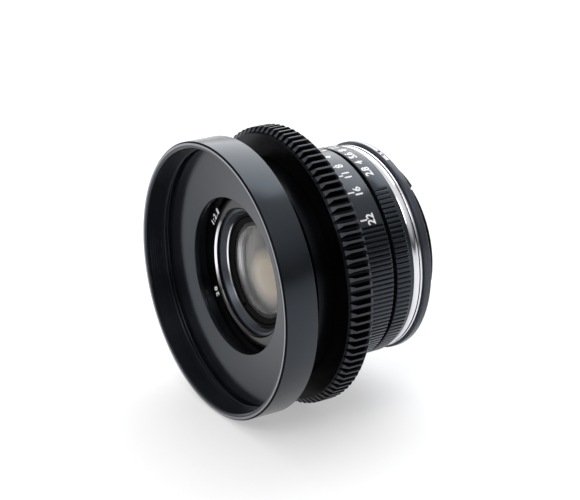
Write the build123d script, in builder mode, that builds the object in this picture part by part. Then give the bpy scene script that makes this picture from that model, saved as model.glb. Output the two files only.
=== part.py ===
"""Wide-angle prime lens with a geared focus ring, as an assembly of separate pieces.

The optical axis is Y: the front of the lens faces -Y and +Z is up. The origin is on the axis in the plane
of the mount's register face. A station is a place along Y, and the pieces' stations are chained from the
register face forwards. An angle round the axis is measured from +Z towards +X. Lengths are millimetres.
"""

import os
from dataclasses import dataclass
from math import acos, atan2, cos, degrees, hypot, pi, radians, sin, sqrt, tan

from build123d import *

os.makedirs("parts", exist_ok=True)

# Clearances
fit = 0.05  # radial, between pieces that are screwed or pressed together
running = 0.06  # radial, between pieces that turn or slide on each other
side_play = 0.1  # axial, between a turning ring and its neighbour
cut = 1.0  # how far a cutting tool runs past the metal

# Radii that the pieces are built up on, from the lens carrier outwards
helicoid_radius = 24.0  # outside of the lens carrier
sleeve_radius = helicoid_radius + 2.1
barrel_bore = sleeve_radius + 1.1
journal_radius = barrel_bore + 1.2  # the focus ring, aperture ring and chrome ring sit on it
seat_radius = journal_radius + 1.0  # the scale ring sits on it

# Rings of the rear half, from the register face forwards
register_lift = 0.2  # the register face stands proud of the flange ring
flange_length = 2.0
flange_radius = journal_radius + 2.3
seam = 0.2  # dark line between the chrome ring and the flange ring
chrome_length = 3.1
chrome_radius = journal_radius + 1.7
aperture_length = 6.2
aperture_front_radius = journal_radius + 2.2
aperture_rear_radius = journal_radius + 1.5
groove_length = 1.4  # open groove between the aperture ring and the scale ring
scale_length = 13.6
scale_radius = seat_radius + 1.5
edge_chamfer = 0.3

# Focus ring and its gear
focus_gap = 0.3
focus_length = 12.1
focus_radius = journal_radius + 3.6
gear_module = 0.8
gear_teeth = 99
gear_length = 7.7
gear_overhang = 1.2  # the gear reaches back past the focus ring
pressure_angle = 20.0
gear_rear_chamfer = 1.2

# Front of the lens block
infinity_gap = 0.6  # between the front barrel and the focus ring at infinity
front_barrel_length = 5.2
hub_bore = helicoid_radius
hub_radius = hub_bore + 2.5
front_barrel_radius = hub_radius + 3.1
plate_thickness = 1.6
plate_opening = hub_bore - 1.3
hood_depth = 7.8  # from the front rim back to the plate
front_ring_length = 10.2
filter_radius = 38.1
front_ring_radius = filter_radius + 1.9
filter_length = 5.6
rim_chamfer = 0.4
land_radius = filter_radius - 0.7  # narrow land behind the filter thread
land_length = 0.4
undercut_radius = filter_radius + 0.5
hub_length = 3.2
web_thickness = 0.9
name_ring_bore = hub_bore - 5.1
name_ring_throat = name_ring_bore - 0.55
name_ring_thickness = 1.5
cone_rear_bore = name_ring_throat - 1.4
cone_length = 1.85

# Main barrel and helicoid
sleeve_length = 9.9
sleeve_flange_radius = sleeve_radius + 4.4
sleeve_flange_thickness = 1.2
sleeve_recess = 0.1
journal_step = 6.7  # from the barrel's front to the pocket of the sleeve's retaining ring
retainer_length = 1.7
focal_length = 28.0
close_distance = 300.0
helicoid_lead = 4.9

# Lens carrier
carrier_bore = helicoid_radius - 4.8
carrier_land = 31.4  # length of the full-width part
carrier_length = 34.8
carrier_tail_radius = helicoid_radius - 4.0
carrier_lip_radius = carrier_bore - 2.2
carrier_lip_depth = 21.5
carrier_lip_thickness = 1.2
rear_bore = carrier_tail_radius - 3.5

# Iris
blade_count = 6
iris_opening = 7.6
blade_inner_radius = 7.75
blade_outer_radius = 12.2
blade_span = 115.0
blade_thickness = 0.15
blade_pitch = 0.25
pivot_circle = 13.0
drive_arm = 3.0
drive_angle_open = 52.0  # drive pin seen from the pivot, from the outward direction, wide open
blade_swing = 30.0
blade_pin_radius = 0.5
pin_play = 0.08
pivot_lobe_radius = 1.3
drive_lobe_radius = 1.0
iris_plate_thickness = 1.2
iris_cup_wall = 0.95
iris_cup_depth = 5.2
cam_ring_thickness = 1.6
cam_ring_bore = pivot_circle - 0.6
cover_thickness = 0.7
cover_bore = 9.6
blade_room = 0.05
stop_angle = 8.2  # turn of the aperture ring from one figure to the next
stops_to_open = 3.5  # the ring is modelled half way between 8 and 11
stops_to_closed = 2.5

# Aperture drive
fork_angle = 270.0
fork_inner_radius = helicoid_radius + 0.6
fork_outer_radius = barrel_bore - 0.4
fork_half_angle = 6.0
fork_front_gap = 0.6
fork_rear_gap = 0.5
arm_radius = 0.55
arm_tip_radius = fork_outer_radius - 0.8
arm_root_radius = pivot_circle + 3.3
drive_screw_radius = 0.8
drive_head_radius = 1.4
drive_head_thickness = 0.6
drive_screw_setback = 1.4  # from the aperture ring's rear edge
drive_screw_depth = 1.0
slot_spare_angle = 1.0

# Focus stop and guide keys
stop_pin_angle = 200.0
stop_pin_radius = 1.0
stop_pin_reach = 1.2  # how far it stands out of the journal
stop_pin_setback = 2.6  # behind the barrel's front edge
key_angles = (0.0, 180.0)
key_width = 3.0
key_length = 6.0
key_station = -16.4
key_depth = 2.7  # into the lens carrier
key_screw_spacing = 3.4
key_screw_radius = 0.6
key_head_radius = 1.1
key_head_thickness = 0.7

# Glass cells
front_retainer_radius = 15.85
front_retainer_bore = 14.1
front_retainer_thickness = 0.8
cell_wall = 1.8
cell_seat_length = 5.3  # full-width part of the front cell
lip_thickness = 0.8
lip_overlap = 0.5
front_retaining_depth = 1.9
rear_element_lip = 0.7
rear_cell_flange_radius = carrier_tail_radius - 1.6
rear_cell_flange_length = 1.5
spanner_slot_width = 1.2
spanner_slot_depth = 0.4

# Bayonet and flange
bayonet_flange_radius = barrel_bore + 0.4
bayonet_flange_thickness = 1.0
register_inner_radius = bayonet_flange_radius - 2.8
register_relief = 0.3
claw_radius = register_inner_radius - 0.5
neck_radius = claw_radius - 1.3
throat_radius = neck_radius - 1.9
neck_length = 5.0
claw_thickness = 1.8
claw_start = 33.5
claw_span = 66.5
claw_count = 3
lug_radius = claw_radius + 0.6  # locating lug beside the first claw
lug_span = 24.0
lug_notch = 2.0  # angle of the slot between the lug and the claw
spigot_radius = barrel_bore - fit
spigot_length = 2.8
spigot_bore = spigot_radius - 2.55
bayonet_screw_circle = bayonet_flange_radius - 1.5
bayonet_screw_count = 6
bayonet_screw_radius = 0.7
bayonet_head_radius = 1.15
bayonet_head_thickness = 0.5
bayonet_head_sink = 0.05
lock_notch_angle = 200.0
lock_notch_width = 2.4
lock_notch_depth = 1.6
index_angle = -5.6
index_pad_span = 48.4
index_pad_height = 0.12
index_pad_margin = 0.25
bead_angle = 13.2
bead_radius = 0.45
bead_height = 0.2
pip_angle = 9.6
pip_radius = 0.45
shield_bore = throat_radius - 1.8
shield_front_gap = 0.8
shield_ridge = 0.6

# Ribs of the two gripping rings
rib_depth = 0.45
scale_rib_pitch = 2.575
scale_plain_half_angle = 61.0
aperture_rib_pitch = 2.757
aperture_plain_half_angle = 37.5
aperture_rib_length = 4.6
rib_mouth_share = 0.55  # of the pitch that a groove takes at the surface

# Stations, from the register face forwards
flange_rear = -register_lift
flange_front = flange_rear - flange_length
chrome_rear = flange_front - seam
chrome_front = chrome_rear - chrome_length
aperture_rear = chrome_front - side_play
aperture_front = aperture_rear - aperture_length
scale_rear = aperture_front - groove_length
scale_front = scale_rear - scale_length
focus_rear = scale_front - focus_gap
focus_front = focus_rear - focus_length
gear_rear = focus_rear + gear_overhang
gear_front = gear_rear - gear_length
block_rear = focus_front - infinity_gap
plate_rear = block_rear - front_barrel_length
plate_front = plate_rear - plate_thickness
rim = plate_front - hood_depth
barrel_front = focus_front + sleeve_recess + sleeve_flange_thickness + side_play

# Travels
focus_travel = focal_length**2 / (close_distance - 2 * focal_length)
focus_throw = 360.0 * focus_travel / helicoid_lead
opening_turn = stop_angle * stops_to_open
closing_turn = stop_angle * stops_to_closed
blade_ratio = blade_swing / (opening_turn + closing_turn)


def polar(radius, angle):
    """X and Z of a point at this radius and angle round the axis."""
    return radius * sin(radians(angle)), radius * cos(radians(angle))


def meridian(angle):
    """Plane through the optical axis: local X runs outwards at this angle, local Y along the axis."""
    x, z = polar(1, angle)
    return Plane(origin=(0, 0, 0), x_dir=(x, 0, z), z_dir=(-z, 0, x))


def across(station):
    """Plane across the axis that faces forwards: local X is +X and local Y is +Z."""
    return Plane(origin=(0, station, 0), x_dir=(1, 0, 0), z_dir=(0, -1, 0))


def outward(angle, station, radius):
    """Plane square to a radius, at that radius, that faces outwards."""
    x, z = polar(radius, angle)
    nx, nz = polar(1, angle)
    return Plane(origin=(x, station, z), x_dir=(0, 1, 0), z_dir=(nx, 0, nz))


def angle_of(length, radius):
    """Angle in degrees that a length subtends at a radius."""
    return degrees(length / radius)


# Front ring: filter thread, land, undercut, annular plate and screwed hub
with BuildPart() as front_ring:
    with BuildSketch():
        Polygon(
            (filter_radius + rim_chamfer, rim),
            (front_ring_radius - rim_chamfer, rim),
            (front_ring_radius, rim + rim_chamfer),
            (front_ring_radius, rim + front_ring_length - rim_chamfer),
            (front_ring_radius - rim_chamfer, rim + front_ring_length),
            (undercut_radius, rim + front_ring_length),
            (undercut_radius, plate_rear),
            (hub_radius, plate_rear),
            (hub_radius, plate_rear + hub_length),
            (hub_bore, plate_rear + hub_length),
            (hub_bore, plate_rear),
            (plate_opening, plate_rear),
            (plate_opening, plate_front + edge_chamfer),
            (plate_opening + edge_chamfer, plate_front),
            (undercut_radius, plate_front),
            (undercut_radius, rim + filter_length + rim_chamfer + land_length),
            (land_radius, rim + filter_length + rim_chamfer + land_length),
            (land_radius, rim + filter_length + rim_chamfer),
            (filter_radius, rim + filter_length + rim_chamfer),
            (filter_radius, rim + rim_chamfer),
        )
    revolve(axis=Axis.Y)
front_ring.part.label = "front_ring"
export_step(front_ring.part, "parts/front_ring.step")

# Front barrel: takes the hub, and its web closes on the lens carrier
web_front = block_rear - web_thickness
barrel_screw_circle = (carrier_bore + hub_bore) / 2
barrel_screw_radius = 0.8
barrel_screw_head = 1.4
barrel_screw_sink = 0.5
barrel_screw_depth = 3.0
with BuildPart() as front_barrel:
    with BuildSketch():
        Polygon(
            (hub_radius + fit, plate_rear),
            (front_barrel_radius - edge_chamfer, plate_rear),
            (front_barrel_radius, plate_rear + edge_chamfer),
            (front_barrel_radius, block_rear - edge_chamfer),
            (front_barrel_radius - edge_chamfer, block_rear),
            (carrier_bore, block_rear),
            (carrier_bore, web_front),
            (hub_radius + fit, web_front),
        )
    revolve(axis=Axis.Y)
    with BuildSketch(across(web_front)):
        with PolarLocations(barrel_screw_circle, 4, start_angle=45):
            Circle(barrel_screw_head + fit)
    extrude(amount=-barrel_screw_sink, mode=Mode.SUBTRACT)
    with BuildSketch(across(web_front)):
        with PolarLocations(barrel_screw_circle, 4, start_angle=45):
            Circle(barrel_screw_radius + fit)
    extrude(amount=-web_thickness, mode=Mode.SUBTRACT)
front_barrel.part.label = "front_barrel"
export_step(front_barrel.part, "parts/front_barrel.step")

with BuildPart() as front_barrel_screws:
    with BuildSketch(across(web_front + barrel_screw_sink)):
        with PolarLocations(barrel_screw_circle, 4, start_angle=45):
            Circle(barrel_screw_head)
    extrude(amount=barrel_screw_sink - fit)
    with BuildSketch(across(web_front + barrel_screw_sink)):
        with PolarLocations(barrel_screw_circle, 4, start_angle=45):
            Circle(barrel_screw_radius)
    extrude(amount=-barrel_screw_depth)
front_barrel_screws.part.label = "front_barrel_screws"
export_step(front_barrel_screws.part, "parts/front_barrel_screws.step")

# Name ring: flat annulus with a steep throat
with BuildPart() as name_ring:
    with BuildSketch():
        Polygon(
            (name_ring_bore, web_front - name_ring_thickness),
            (hub_bore - fit, web_front - name_ring_thickness),
            (hub_bore - fit, web_front),
            (name_ring_throat, web_front),
            (name_ring_throat, web_front - name_ring_thickness + name_ring_bore - name_ring_throat),
        )
    revolve(axis=Axis.Y)
name_ring.part.label = "name_ring"
export_step(name_ring.part, "parts/name_ring.step")

# Shade cone between the name ring and the front cell
front_cell_radius = carrier_bore - fit
cone_front = web_front + fit
cone_rear = cone_front + cone_length
with BuildPart() as shade_cone:
    with BuildSketch():
        Polygon(
            (name_ring_throat - cone_length / 3, cone_front),
            (front_cell_radius, cone_front),
            (front_cell_radius, cone_rear),
            (cone_rear_bore, cone_rear),
        )
    revolve(axis=Axis.Y)
shade_cone.part.label = "shade_cone"
export_step(shade_cone.part, "parts/shade_cone.step")


@dataclass
class Element:
    """One lens element. A curvature is positive where its centre lies behind the surface, and 0 is flat."""

    front_curvature: float
    rear_curvature: float
    thickness: float
    radius: float
    rear_clear: float
    front_edge: float = 0.0

    @staticmethod
    def sag(curvature, height):
        """How far the surface lies behind its vertex at this height."""
        return curvature * height**2 / (1 + sqrt(1 - (curvature * height) ** 2))

    @property
    def front_vertex(self):
        return self.front_edge - self.sag(self.front_curvature, self.radius)

    @property
    def rear_vertex(self):
        return self.front_vertex + self.thickness

    @property
    def rear_edge(self):
        return self.rear_vertex + self.sag(self.rear_curvature, self.rear_clear)

    def front_at(self, height):
        """Station of the front surface at this height."""
        return self.front_vertex + self.sag(self.front_curvature, height)

    def rim_drop(self, height):
        """How far the front edge lies behind the front surface at this height."""
        return self.sag(self.front_curvature, self.radius) - self.sag(self.front_curvature, height)

    def front_seat(self, bore):
        """Station of a flat ring of this bore that rests on the front surface."""
        return min(self.front_edge, self.front_at(bore))

    def rear_seat(self, bore):
        """Station of a flat ring of this bore that rests on the rear surface."""
        return max(self.rear_edge, self.rear_vertex + self.sag(self.rear_curvature, bore))

    def grind(self, vertex, curvature, hollow):
        """Cut one surface with the sphere it is part of."""
        if curvature:
            with Locations((0, vertex + 1 / curvature, 0)):
                Sphere(abs(1 / curvature), mode=Mode.SUBTRACT if hollow else Mode.INTERSECT)


# Six elements in two groups, with the iris between them
spacer_1_length = 1.85
spacer_2_length = 0.9
spacer_3_length = 2.9
spacer_wall = 1.1
front_element_radius = 14.6
middle_element_radius = 13.0
rear_element_radius = 10.2
rear_retainer_bore = rear_element_radius - 0.7
glass_1 = Element(1 / 34.0, 1 / 34.5, 1.5, front_element_radius, 12.6)
glass_2 = Element(1 / 34.0, 0, 3.6, middle_element_radius, middle_element_radius)
glass_3 = Element(0, -1 / 38.0, 5.0, middle_element_radius, middle_element_radius)
glass_4 = Element(-1 / 30.0, 0, 1.2, rear_element_radius, rear_element_radius)
glass_5 = Element(0, -1 / 26.0, 2.6, rear_element_radius, rear_element_radius)
glass_6 = Element(0, -1 / 40.0, 2.9, rear_element_radius, rear_element_radius)

front_cell_front = cone_rear
retainer_rear = front_cell_front + fit + front_retainer_thickness
glass_1.front_edge = retainer_rear + glass_1.rim_drop(front_retainer_bore)
lip_front = glass_1.rear_edge
lip_rear = lip_front + lip_thickness
lip_bore = middle_element_radius - lip_overlap
glass_2.front_edge = lip_rear + glass_2.rim_drop(lip_bore)
glass_3.front_edge = glass_2.rear_edge + spacer_1_length
front_cell_rear = glass_3.rear_edge + front_retaining_depth

carrier_front = block_rear
carrier_lip_front = carrier_front + carrier_lip_depth
carrier_lip_rear = carrier_lip_front + carrier_lip_thickness
carrier_rear = carrier_front + carrier_length
rear_cell_front = carrier_lip_rear
glass_4.front_edge = rear_cell_front + rear_element_lip
glass_5.front_edge = glass_4.rear_edge + spacer_2_length
glass_6.front_edge = glass_5.rear_edge + spacer_3_length
rear_cell_rear = carrier_rear + rear_cell_flange_length

elements = (glass_1, glass_2, glass_3, glass_4, glass_5, glass_6)
for number, element in enumerate(elements, start=1):
    blank_front = element.front_vertex - cut if element.front_curvature > 0 else element.front_edge
    blank_rear = element.rear_vertex + cut if element.rear_curvature < 0 else element.rear_edge
    with BuildPart() as glass:
        with BuildSketch(across(blank_rear)):
            Circle(element.radius)
        extrude(amount=blank_rear - blank_front)
        element.grind(element.front_vertex, element.front_curvature, element.front_curvature < 0)
        element.grind(element.rear_vertex, element.rear_curvature, element.rear_curvature > 0)
    glass.part.label = f"glass_{number}"
    export_step(glass.part, f"parts/glass_{number}.step")

# Front retaining ring, with two spanner slots
with BuildPart() as front_retainer:
    with BuildSketch():
        Polygon(
            (front_retainer_bore, retainer_rear - front_retainer_thickness / 3),
            (front_retainer_radius - edge_chamfer, retainer_rear - front_retainer_thickness),
            (front_retainer_radius, retainer_rear - front_retainer_thickness + edge_chamfer),
            (front_retainer_radius, retainer_rear),
            (front_retainer_bore, retainer_rear),
        )
    revolve(axis=Axis.Y)
    with BuildSketch(across(retainer_rear - front_retainer_thickness + spanner_slot_depth)):
        with PolarLocations((front_retainer_radius + front_retainer_bore) / 2, 2, start_angle=60):
            Rectangle(front_retainer_radius - front_retainer_bore + cut, spanner_slot_width)
    extrude(amount=cut, mode=Mode.SUBTRACT)
front_retainer.part.label = "front_retainer"
export_step(front_retainer.part, "parts/front_retainer.step")

# Front cell: holds elements 1 to 3
front_cell_step = front_cell_front + cell_seat_length
front_cell_tail_radius = middle_element_radius + cell_wall
with BuildPart() as front_cell:
    with BuildSketch():
        Polygon(
            (front_retainer_radius + fit, front_cell_front),
            (front_cell_radius, front_cell_front),
            (front_cell_radius, front_cell_step),
            (front_cell_tail_radius, front_cell_step),
            (front_cell_tail_radius, front_cell_rear),
            (middle_element_radius + fit, front_cell_rear),
            (middle_element_radius + fit, glass_2.front_edge),
            (lip_bore, lip_rear),
            (lip_bore, lip_front),
            (front_element_radius + fit, lip_front),
            (front_element_radius + fit, retainer_rear + fit),
            (front_retainer_radius + fit, retainer_rear + fit),
        )
    revolve(axis=Axis.Y)
front_cell.part.label = "front_cell"
export_step(front_cell.part, "parts/front_cell.step")

# Spacers between elements
spaced_pairs = {
    "spacer_1": (glass_2, glass_3),
    "spacer_2": (glass_4, glass_5),
    "spacer_3": (glass_5, glass_6),
}
for name, (ahead, behind) in spaced_pairs.items():
    bore = ahead.radius - spacer_wall
    start = ahead.rear_seat(bore)
    end = behind.front_seat(bore)
    with BuildPart() as spacer:
        with BuildSketch():
            Polygon((bore, start), (ahead.radius, start), (ahead.radius, end), (bore, end))
        revolve(axis=Axis.Y)
    spacer.part.label = name
    export_step(spacer.part, f"parts/{name}.step")

# Retaining ring behind element 3
with BuildPart() as front_cell_retainer:
    with BuildSketch():
        Polygon(
            (middle_element_radius - spacer_wall, glass_3.rear_seat(middle_element_radius - spacer_wall)),
            (middle_element_radius, glass_3.rear_seat(middle_element_radius - spacer_wall)),
            (middle_element_radius, front_cell_rear - side_play),
            (middle_element_radius - spacer_wall, front_cell_rear - side_play),
        )
    revolve(axis=Axis.Y)
front_cell_retainer.part.label = "front_cell_retainer"
export_step(front_cell_retainer.part, "parts/front_cell_retainer.step")

# Rear cell: holds elements 4 to 6
with BuildPart() as rear_cell:
    with BuildSketch():
        Polygon(
            (rear_element_radius - lip_overlap, rear_cell_front),
            (rear_bore - fit, rear_cell_front),
            (rear_bore - fit, carrier_rear),
            (rear_cell_flange_radius, carrier_rear),
            (rear_cell_flange_radius, rear_cell_rear - edge_chamfer),
            (rear_cell_flange_radius - edge_chamfer, rear_cell_rear),
            (rear_element_radius + fit, rear_cell_rear),
            (rear_element_radius + fit, glass_4.front_edge),
            (rear_element_radius - lip_overlap, glass_4.front_edge),
        )
    revolve(axis=Axis.Y)
rear_cell.part.label = "rear_cell"
export_step(rear_cell.part, "parts/rear_cell.step")

with BuildPart() as rear_retainer:
    with BuildSketch():
        Polygon(
            (rear_retainer_bore, glass_6.rear_edge + edge_chamfer),
            (rear_element_radius, glass_6.rear_edge),
            (rear_element_radius, rear_cell_rear - side_play),
            (rear_retainer_bore + edge_chamfer, rear_cell_rear - side_play),
            (rear_retainer_bore, rear_cell_rear - side_play - edge_chamfer),
        )
    revolve(axis=Axis.Y)
    with BuildSketch(across(rear_cell_rear - side_play)):
        with PolarLocations((rear_retainer_bore + rear_element_radius) / 2, 2):
            Rectangle(rear_element_radius - rear_retainer_bore + cut, spanner_slot_width)
    extrude(amount=spanner_slot_depth, mode=Mode.SUBTRACT)
rear_retainer.part.label = "rear_retainer"
export_step(rear_retainer.part, "parts/rear_retainer.step")

# Iris stations, from the carrier's lip forwards
iris_rear = carrier_lip_front
iris_front = iris_rear - iris_cup_depth
iris_plate_front = iris_rear - iris_plate_thickness
blade_pack_length = blade_pitch * (blade_count - 1) + blade_thickness
cam_rear = iris_plate_front - blade_pack_length - 2 * blade_room
cam_front = cam_rear - cam_ring_thickness
cover_rear = cam_front - side_play
arm_station = (cam_front + cam_rear) / 2
cup_radius = carrier_bore - fit
cup_bore = cup_radius - iris_cup_wall
cam_radius = cup_bore - running
arm_slot_half_width = arm_radius + side_play


def drive_pin(turn):
    """Radius and angle of a blade's drive pin, from its pivot's angle, at this turn of the aperture ring."""
    swing = blade_ratio * (turn + opening_turn)
    heading = radians(drive_angle_open + swing)
    x = pivot_circle + drive_arm * cos(heading)
    y = drive_arm * sin(heading)
    return hypot(x, y), degrees(atan2(y, x))


def cam_point(turn, pivot_angle):
    """Where a drive pin lies in the cam ring at this turn, drawn across the axis."""
    radius, angle = drive_pin(turn)
    return polar(radius, pivot_angle + angle - turn)


pivot_angles = [360.0 / blade_count * index for index in range(blade_count)]
slot_width = 2 * (blade_pin_radius + pin_play)

# Iris cup: pivot holes in its plate, and a slot in its wall for the drive arm
with BuildPart() as iris_cup:
    with BuildSketch():
        Polygon(
            (cup_bore, iris_front),
            (cup_radius, iris_front),
            (cup_radius, iris_rear),
            (iris_opening, iris_rear),
            (iris_opening, iris_plate_front),
            (cup_bore, iris_plate_front),
        )
    revolve(axis=Axis.Y)
    with BuildSketch(across(iris_rear)):
        with Locations(*[polar(pivot_circle, angle) for angle in pivot_angles]):
            Circle(blade_pin_radius + running)
    extrude(amount=iris_plate_thickness, mode=Mode.SUBTRACT)
    cup_slot_margin = slot_spare_angle + angle_of(arm_radius, cup_bore)
    with BuildSketch(meridian(fork_angle - opening_turn - cup_slot_margin)):
        Polygon(
            (cup_bore - cut, arm_station - arm_slot_half_width),
            (cup_radius + cut, arm_station - arm_slot_half_width),
            (cup_radius + cut, arm_station + arm_slot_half_width),
            (cup_bore - cut, arm_station + arm_slot_half_width),
        )
    revolve(
        axis=Axis.Y,
        revolution_arc=opening_turn + closing_turn + 2 * cup_slot_margin,
        mode=Mode.SUBTRACT,
    )
iris_cup.part.label = "iris_cup"
export_step(iris_cup.part, "parts/iris_cup.step")

# Cam ring: one slot for each blade's drive pin, and a hole for the drive arm
with BuildPart() as cam_ring:
    with BuildSketch():
        Polygon(
            (cam_ring_bore, cam_front),
            (cam_radius, cam_front),
            (cam_radius, cam_rear),
            (cam_ring_bore, cam_rear),
        )
    revolve(axis=Axis.Y)
    slot_open = -opening_turn - slot_spare_angle
    slot_closed = closing_turn + slot_spare_angle
    for angle in pivot_angles:
        with BuildSketch(across(cam_rear)):
            with BuildLine():
                path = ThreePointArc(
                    cam_point(slot_open, angle),
                    cam_point((slot_open + slot_closed) / 2, angle),
                    cam_point(slot_closed, angle),
                )
            SlotArc(path, slot_width)
        extrude(amount=cam_ring_thickness, mode=Mode.SUBTRACT)
    with BuildSketch(outward(fork_angle, arm_station, arm_root_radius)):
        Circle(arm_radius + fit / 2)
    extrude(amount=cam_radius, mode=Mode.SUBTRACT)
cam_ring.part.label = "cam_ring"
export_step(cam_ring.part, "parts/cam_ring.step")

with BuildPart() as iris_cover:
    with BuildSketch():
        Polygon(
            (cover_bore, cover_rear - cover_thickness),
            (cup_bore - fit, cover_rear - cover_thickness),
            (cup_bore - fit, cover_rear),
            (cover_bore, cover_rear),
        )
    revolve(axis=Axis.Y)
iris_cover.part.label = "iris_cover"
export_step(iris_cover.part, "parts/iris_cover.step")

with BuildPart() as iris_arm:
    with BuildSketch(outward(fork_angle, arm_station, arm_root_radius)):
        Circle(arm_radius)
    extrude(amount=arm_tip_radius - arm_root_radius)
iris_arm.part.label = "iris_arm"
export_step(iris_arm.part, "parts/iris_arm.step")

# Iris blades, one above the other, at the stop that the ring is modelled at
blade_middle = (blade_inner_radius + blade_outer_radius) / 2
blade_half_width = (blade_outer_radius - blade_inner_radius) / 2
rest_swing = blade_ratio * opening_turn
for index, angle in enumerate(pivot_angles):
    level = cam_rear + blade_room + blade_pitch * index
    pivot_x, pivot_z = polar(pivot_circle, angle)
    out_x, out_z = polar(1, angle + rest_swing)
    pivot = (pivot_x, level + blade_thickness, pivot_z)
    blade_plane = Plane(origin=pivot, x_dir=(out_x, 0, out_z), z_dir=(0, -1, 0))
    pin_x = drive_arm * cos(radians(drive_angle_open))
    pin_y = -drive_arm * sin(radians(drive_angle_open))
    tip_x = blade_middle * cos(radians(blade_span)) - pivot_circle
    tip_y = -blade_middle * sin(radians(blade_span))
    far = 2 * blade_outer_radius
    with BuildPart() as blade:
        with BuildSketch(blade_plane):
            with Locations((-pivot_circle, 0)):
                Circle(blade_outer_radius)
                Circle(blade_inner_radius, mode=Mode.SUBTRACT)
            Polygon(
                (-pivot_circle, 0),
                (-pivot_circle + far, 0),
                (-pivot_circle + far, -far),
                (-pivot_circle + far * cos(radians(blade_span)), -far * sin(radians(blade_span))),
                mode=Mode.INTERSECT,
            )
            with Locations((tip_x, tip_y)):
                Circle(blade_half_width)
            Circle(pivot_lobe_radius)
            with Locations((pin_x, pin_y)):
                Circle(drive_lobe_radius)
            Polygon(
                (-pivot_lobe_radius, -pivot_lobe_radius),
                (-pivot_lobe_radius, 0),
                (pivot_lobe_radius, 0),
                (pin_x + drive_lobe_radius * 0.8, pin_y + drive_lobe_radius * 0.6),
                (pin_x - drive_lobe_radius * 0.8, pin_y - drive_lobe_radius * 0.6),
            )
        extrude(amount=blade_thickness)
        with BuildSketch(blade_plane):
            Circle(blade_pin_radius)
        extrude(amount=level + blade_thickness - iris_rear)
        with BuildSketch(blade_plane.offset(blade_thickness)):
            with Locations((pin_x, pin_y)):
                Circle(blade_pin_radius)
        extrude(amount=level - cam_front)
    blade.part.label = f"iris_blade_{index + 1}"
    export_step(blade.part, f"parts/iris_blade_{index + 1}.step")

# Lens carrier: male helicoid outside, cells inside, slots for the guide keys and the drive arm
with BuildPart() as lens_carrier:
    with BuildSketch():
        Polygon(
            (carrier_bore, carrier_front),
            (helicoid_radius, carrier_front),
            (helicoid_radius, carrier_front + carrier_land),
            (carrier_tail_radius, carrier_front + carrier_land),
            (carrier_tail_radius, carrier_rear),
            (rear_bore, carrier_rear),
            (rear_bore, carrier_lip_rear),
            (carrier_lip_radius, carrier_lip_rear),
            (carrier_lip_radius, carrier_lip_front),
            (carrier_bore, carrier_lip_front),
        )
    revolve(axis=Axis.Y)
    carrier_slot_margin = slot_spare_angle + angle_of(arm_radius, carrier_bore)
    with BuildSketch(meridian(fork_angle - opening_turn - carrier_slot_margin)):
        Polygon(
            (carrier_bore - cut / 2, arm_station - arm_slot_half_width),
            (helicoid_radius + cut, arm_station - arm_slot_half_width),
            (helicoid_radius + cut, arm_station + arm_slot_half_width),
            (carrier_bore - cut / 2, arm_station + arm_slot_half_width),
        )
    revolve(
        axis=Axis.Y,
        revolution_arc=opening_turn + closing_turn + 2 * carrier_slot_margin,
        mode=Mode.SUBTRACT,
    )
    key_slot_front = key_station - key_length / 2 - side_play
    key_slot_rear = key_station + key_length / 2 + focus_travel + side_play
    for angle in key_angles:
        with BuildSketch(outward(angle, (key_slot_front + key_slot_rear) / 2, helicoid_radius - key_depth)):
            Rectangle(key_slot_rear - key_slot_front, key_width + 2 * running)
        extrude(amount=key_depth + cut, mode=Mode.SUBTRACT)
    with BuildSketch(across(carrier_front)):
        with PolarLocations(barrel_screw_circle, 4, start_angle=45):
            Circle(barrel_screw_radius + fit)
    extrude(amount=-barrel_screw_depth, mode=Mode.SUBTRACT)
lens_carrier.part.label = "lens_carrier"
export_step(lens_carrier.part, "parts/lens_carrier.step")

# Main barrel: everything fixed is built on it
pocket_front = barrel_front + journal_step
drive_station = aperture_rear - drive_screw_setback
drive_slot_margin = slot_spare_angle + angle_of(drive_screw_radius, barrel_bore)
stop_station = barrel_front + stop_pin_setback
with BuildPart() as main_barrel:
    with BuildSketch():
        Polygon(
            (sleeve_radius + running, barrel_front),
            (journal_radius, barrel_front),
            (journal_radius, scale_front),
            (seat_radius, scale_front),
            (seat_radius, scale_rear),
            (journal_radius, scale_rear),
            (journal_radius, flange_front),
            (barrel_bore, flange_front),
            (barrel_bore, pocket_front),
            (sleeve_radius + running, pocket_front),
        )
    revolve(axis=Axis.Y)
    with BuildSketch(meridian(fork_angle - opening_turn - drive_slot_margin)):
        Polygon(
            (barrel_bore - cut, drive_station - drive_screw_radius - side_play),
            (journal_radius + cut, drive_station - drive_screw_radius - side_play),
            (journal_radius + cut, drive_station + drive_screw_radius + side_play),
            (barrel_bore - cut, drive_station + drive_screw_radius + side_play),
        )
    revolve(
        axis=Axis.Y,
        revolution_arc=opening_turn + closing_turn + 2 * drive_slot_margin,
        mode=Mode.SUBTRACT,
    )
    with BuildSketch(outward(stop_pin_angle, stop_station, sleeve_radius)):
        Circle(stop_pin_radius + fit / 2)
    extrude(amount=journal_radius, mode=Mode.SUBTRACT)
    for angle in key_angles:
        with BuildSketch(outward(angle, key_station, barrel_bore - cut)):
            with GridLocations(key_screw_spacing, 0, 2, 1):
                Circle(key_screw_radius + fit)
        extrude(amount=seat_radius - barrel_bore + 2 * cut, mode=Mode.SUBTRACT)
        with BuildSketch(outward(angle, key_station, seat_radius - key_head_thickness - fit)):
            with GridLocations(key_screw_spacing, 0, 2, 1):
                Circle(key_head_radius + fit)
        extrude(amount=cut, mode=Mode.SUBTRACT)
main_barrel.part.label = "main_barrel"
export_step(main_barrel.part, "parts/main_barrel.step")

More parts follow.
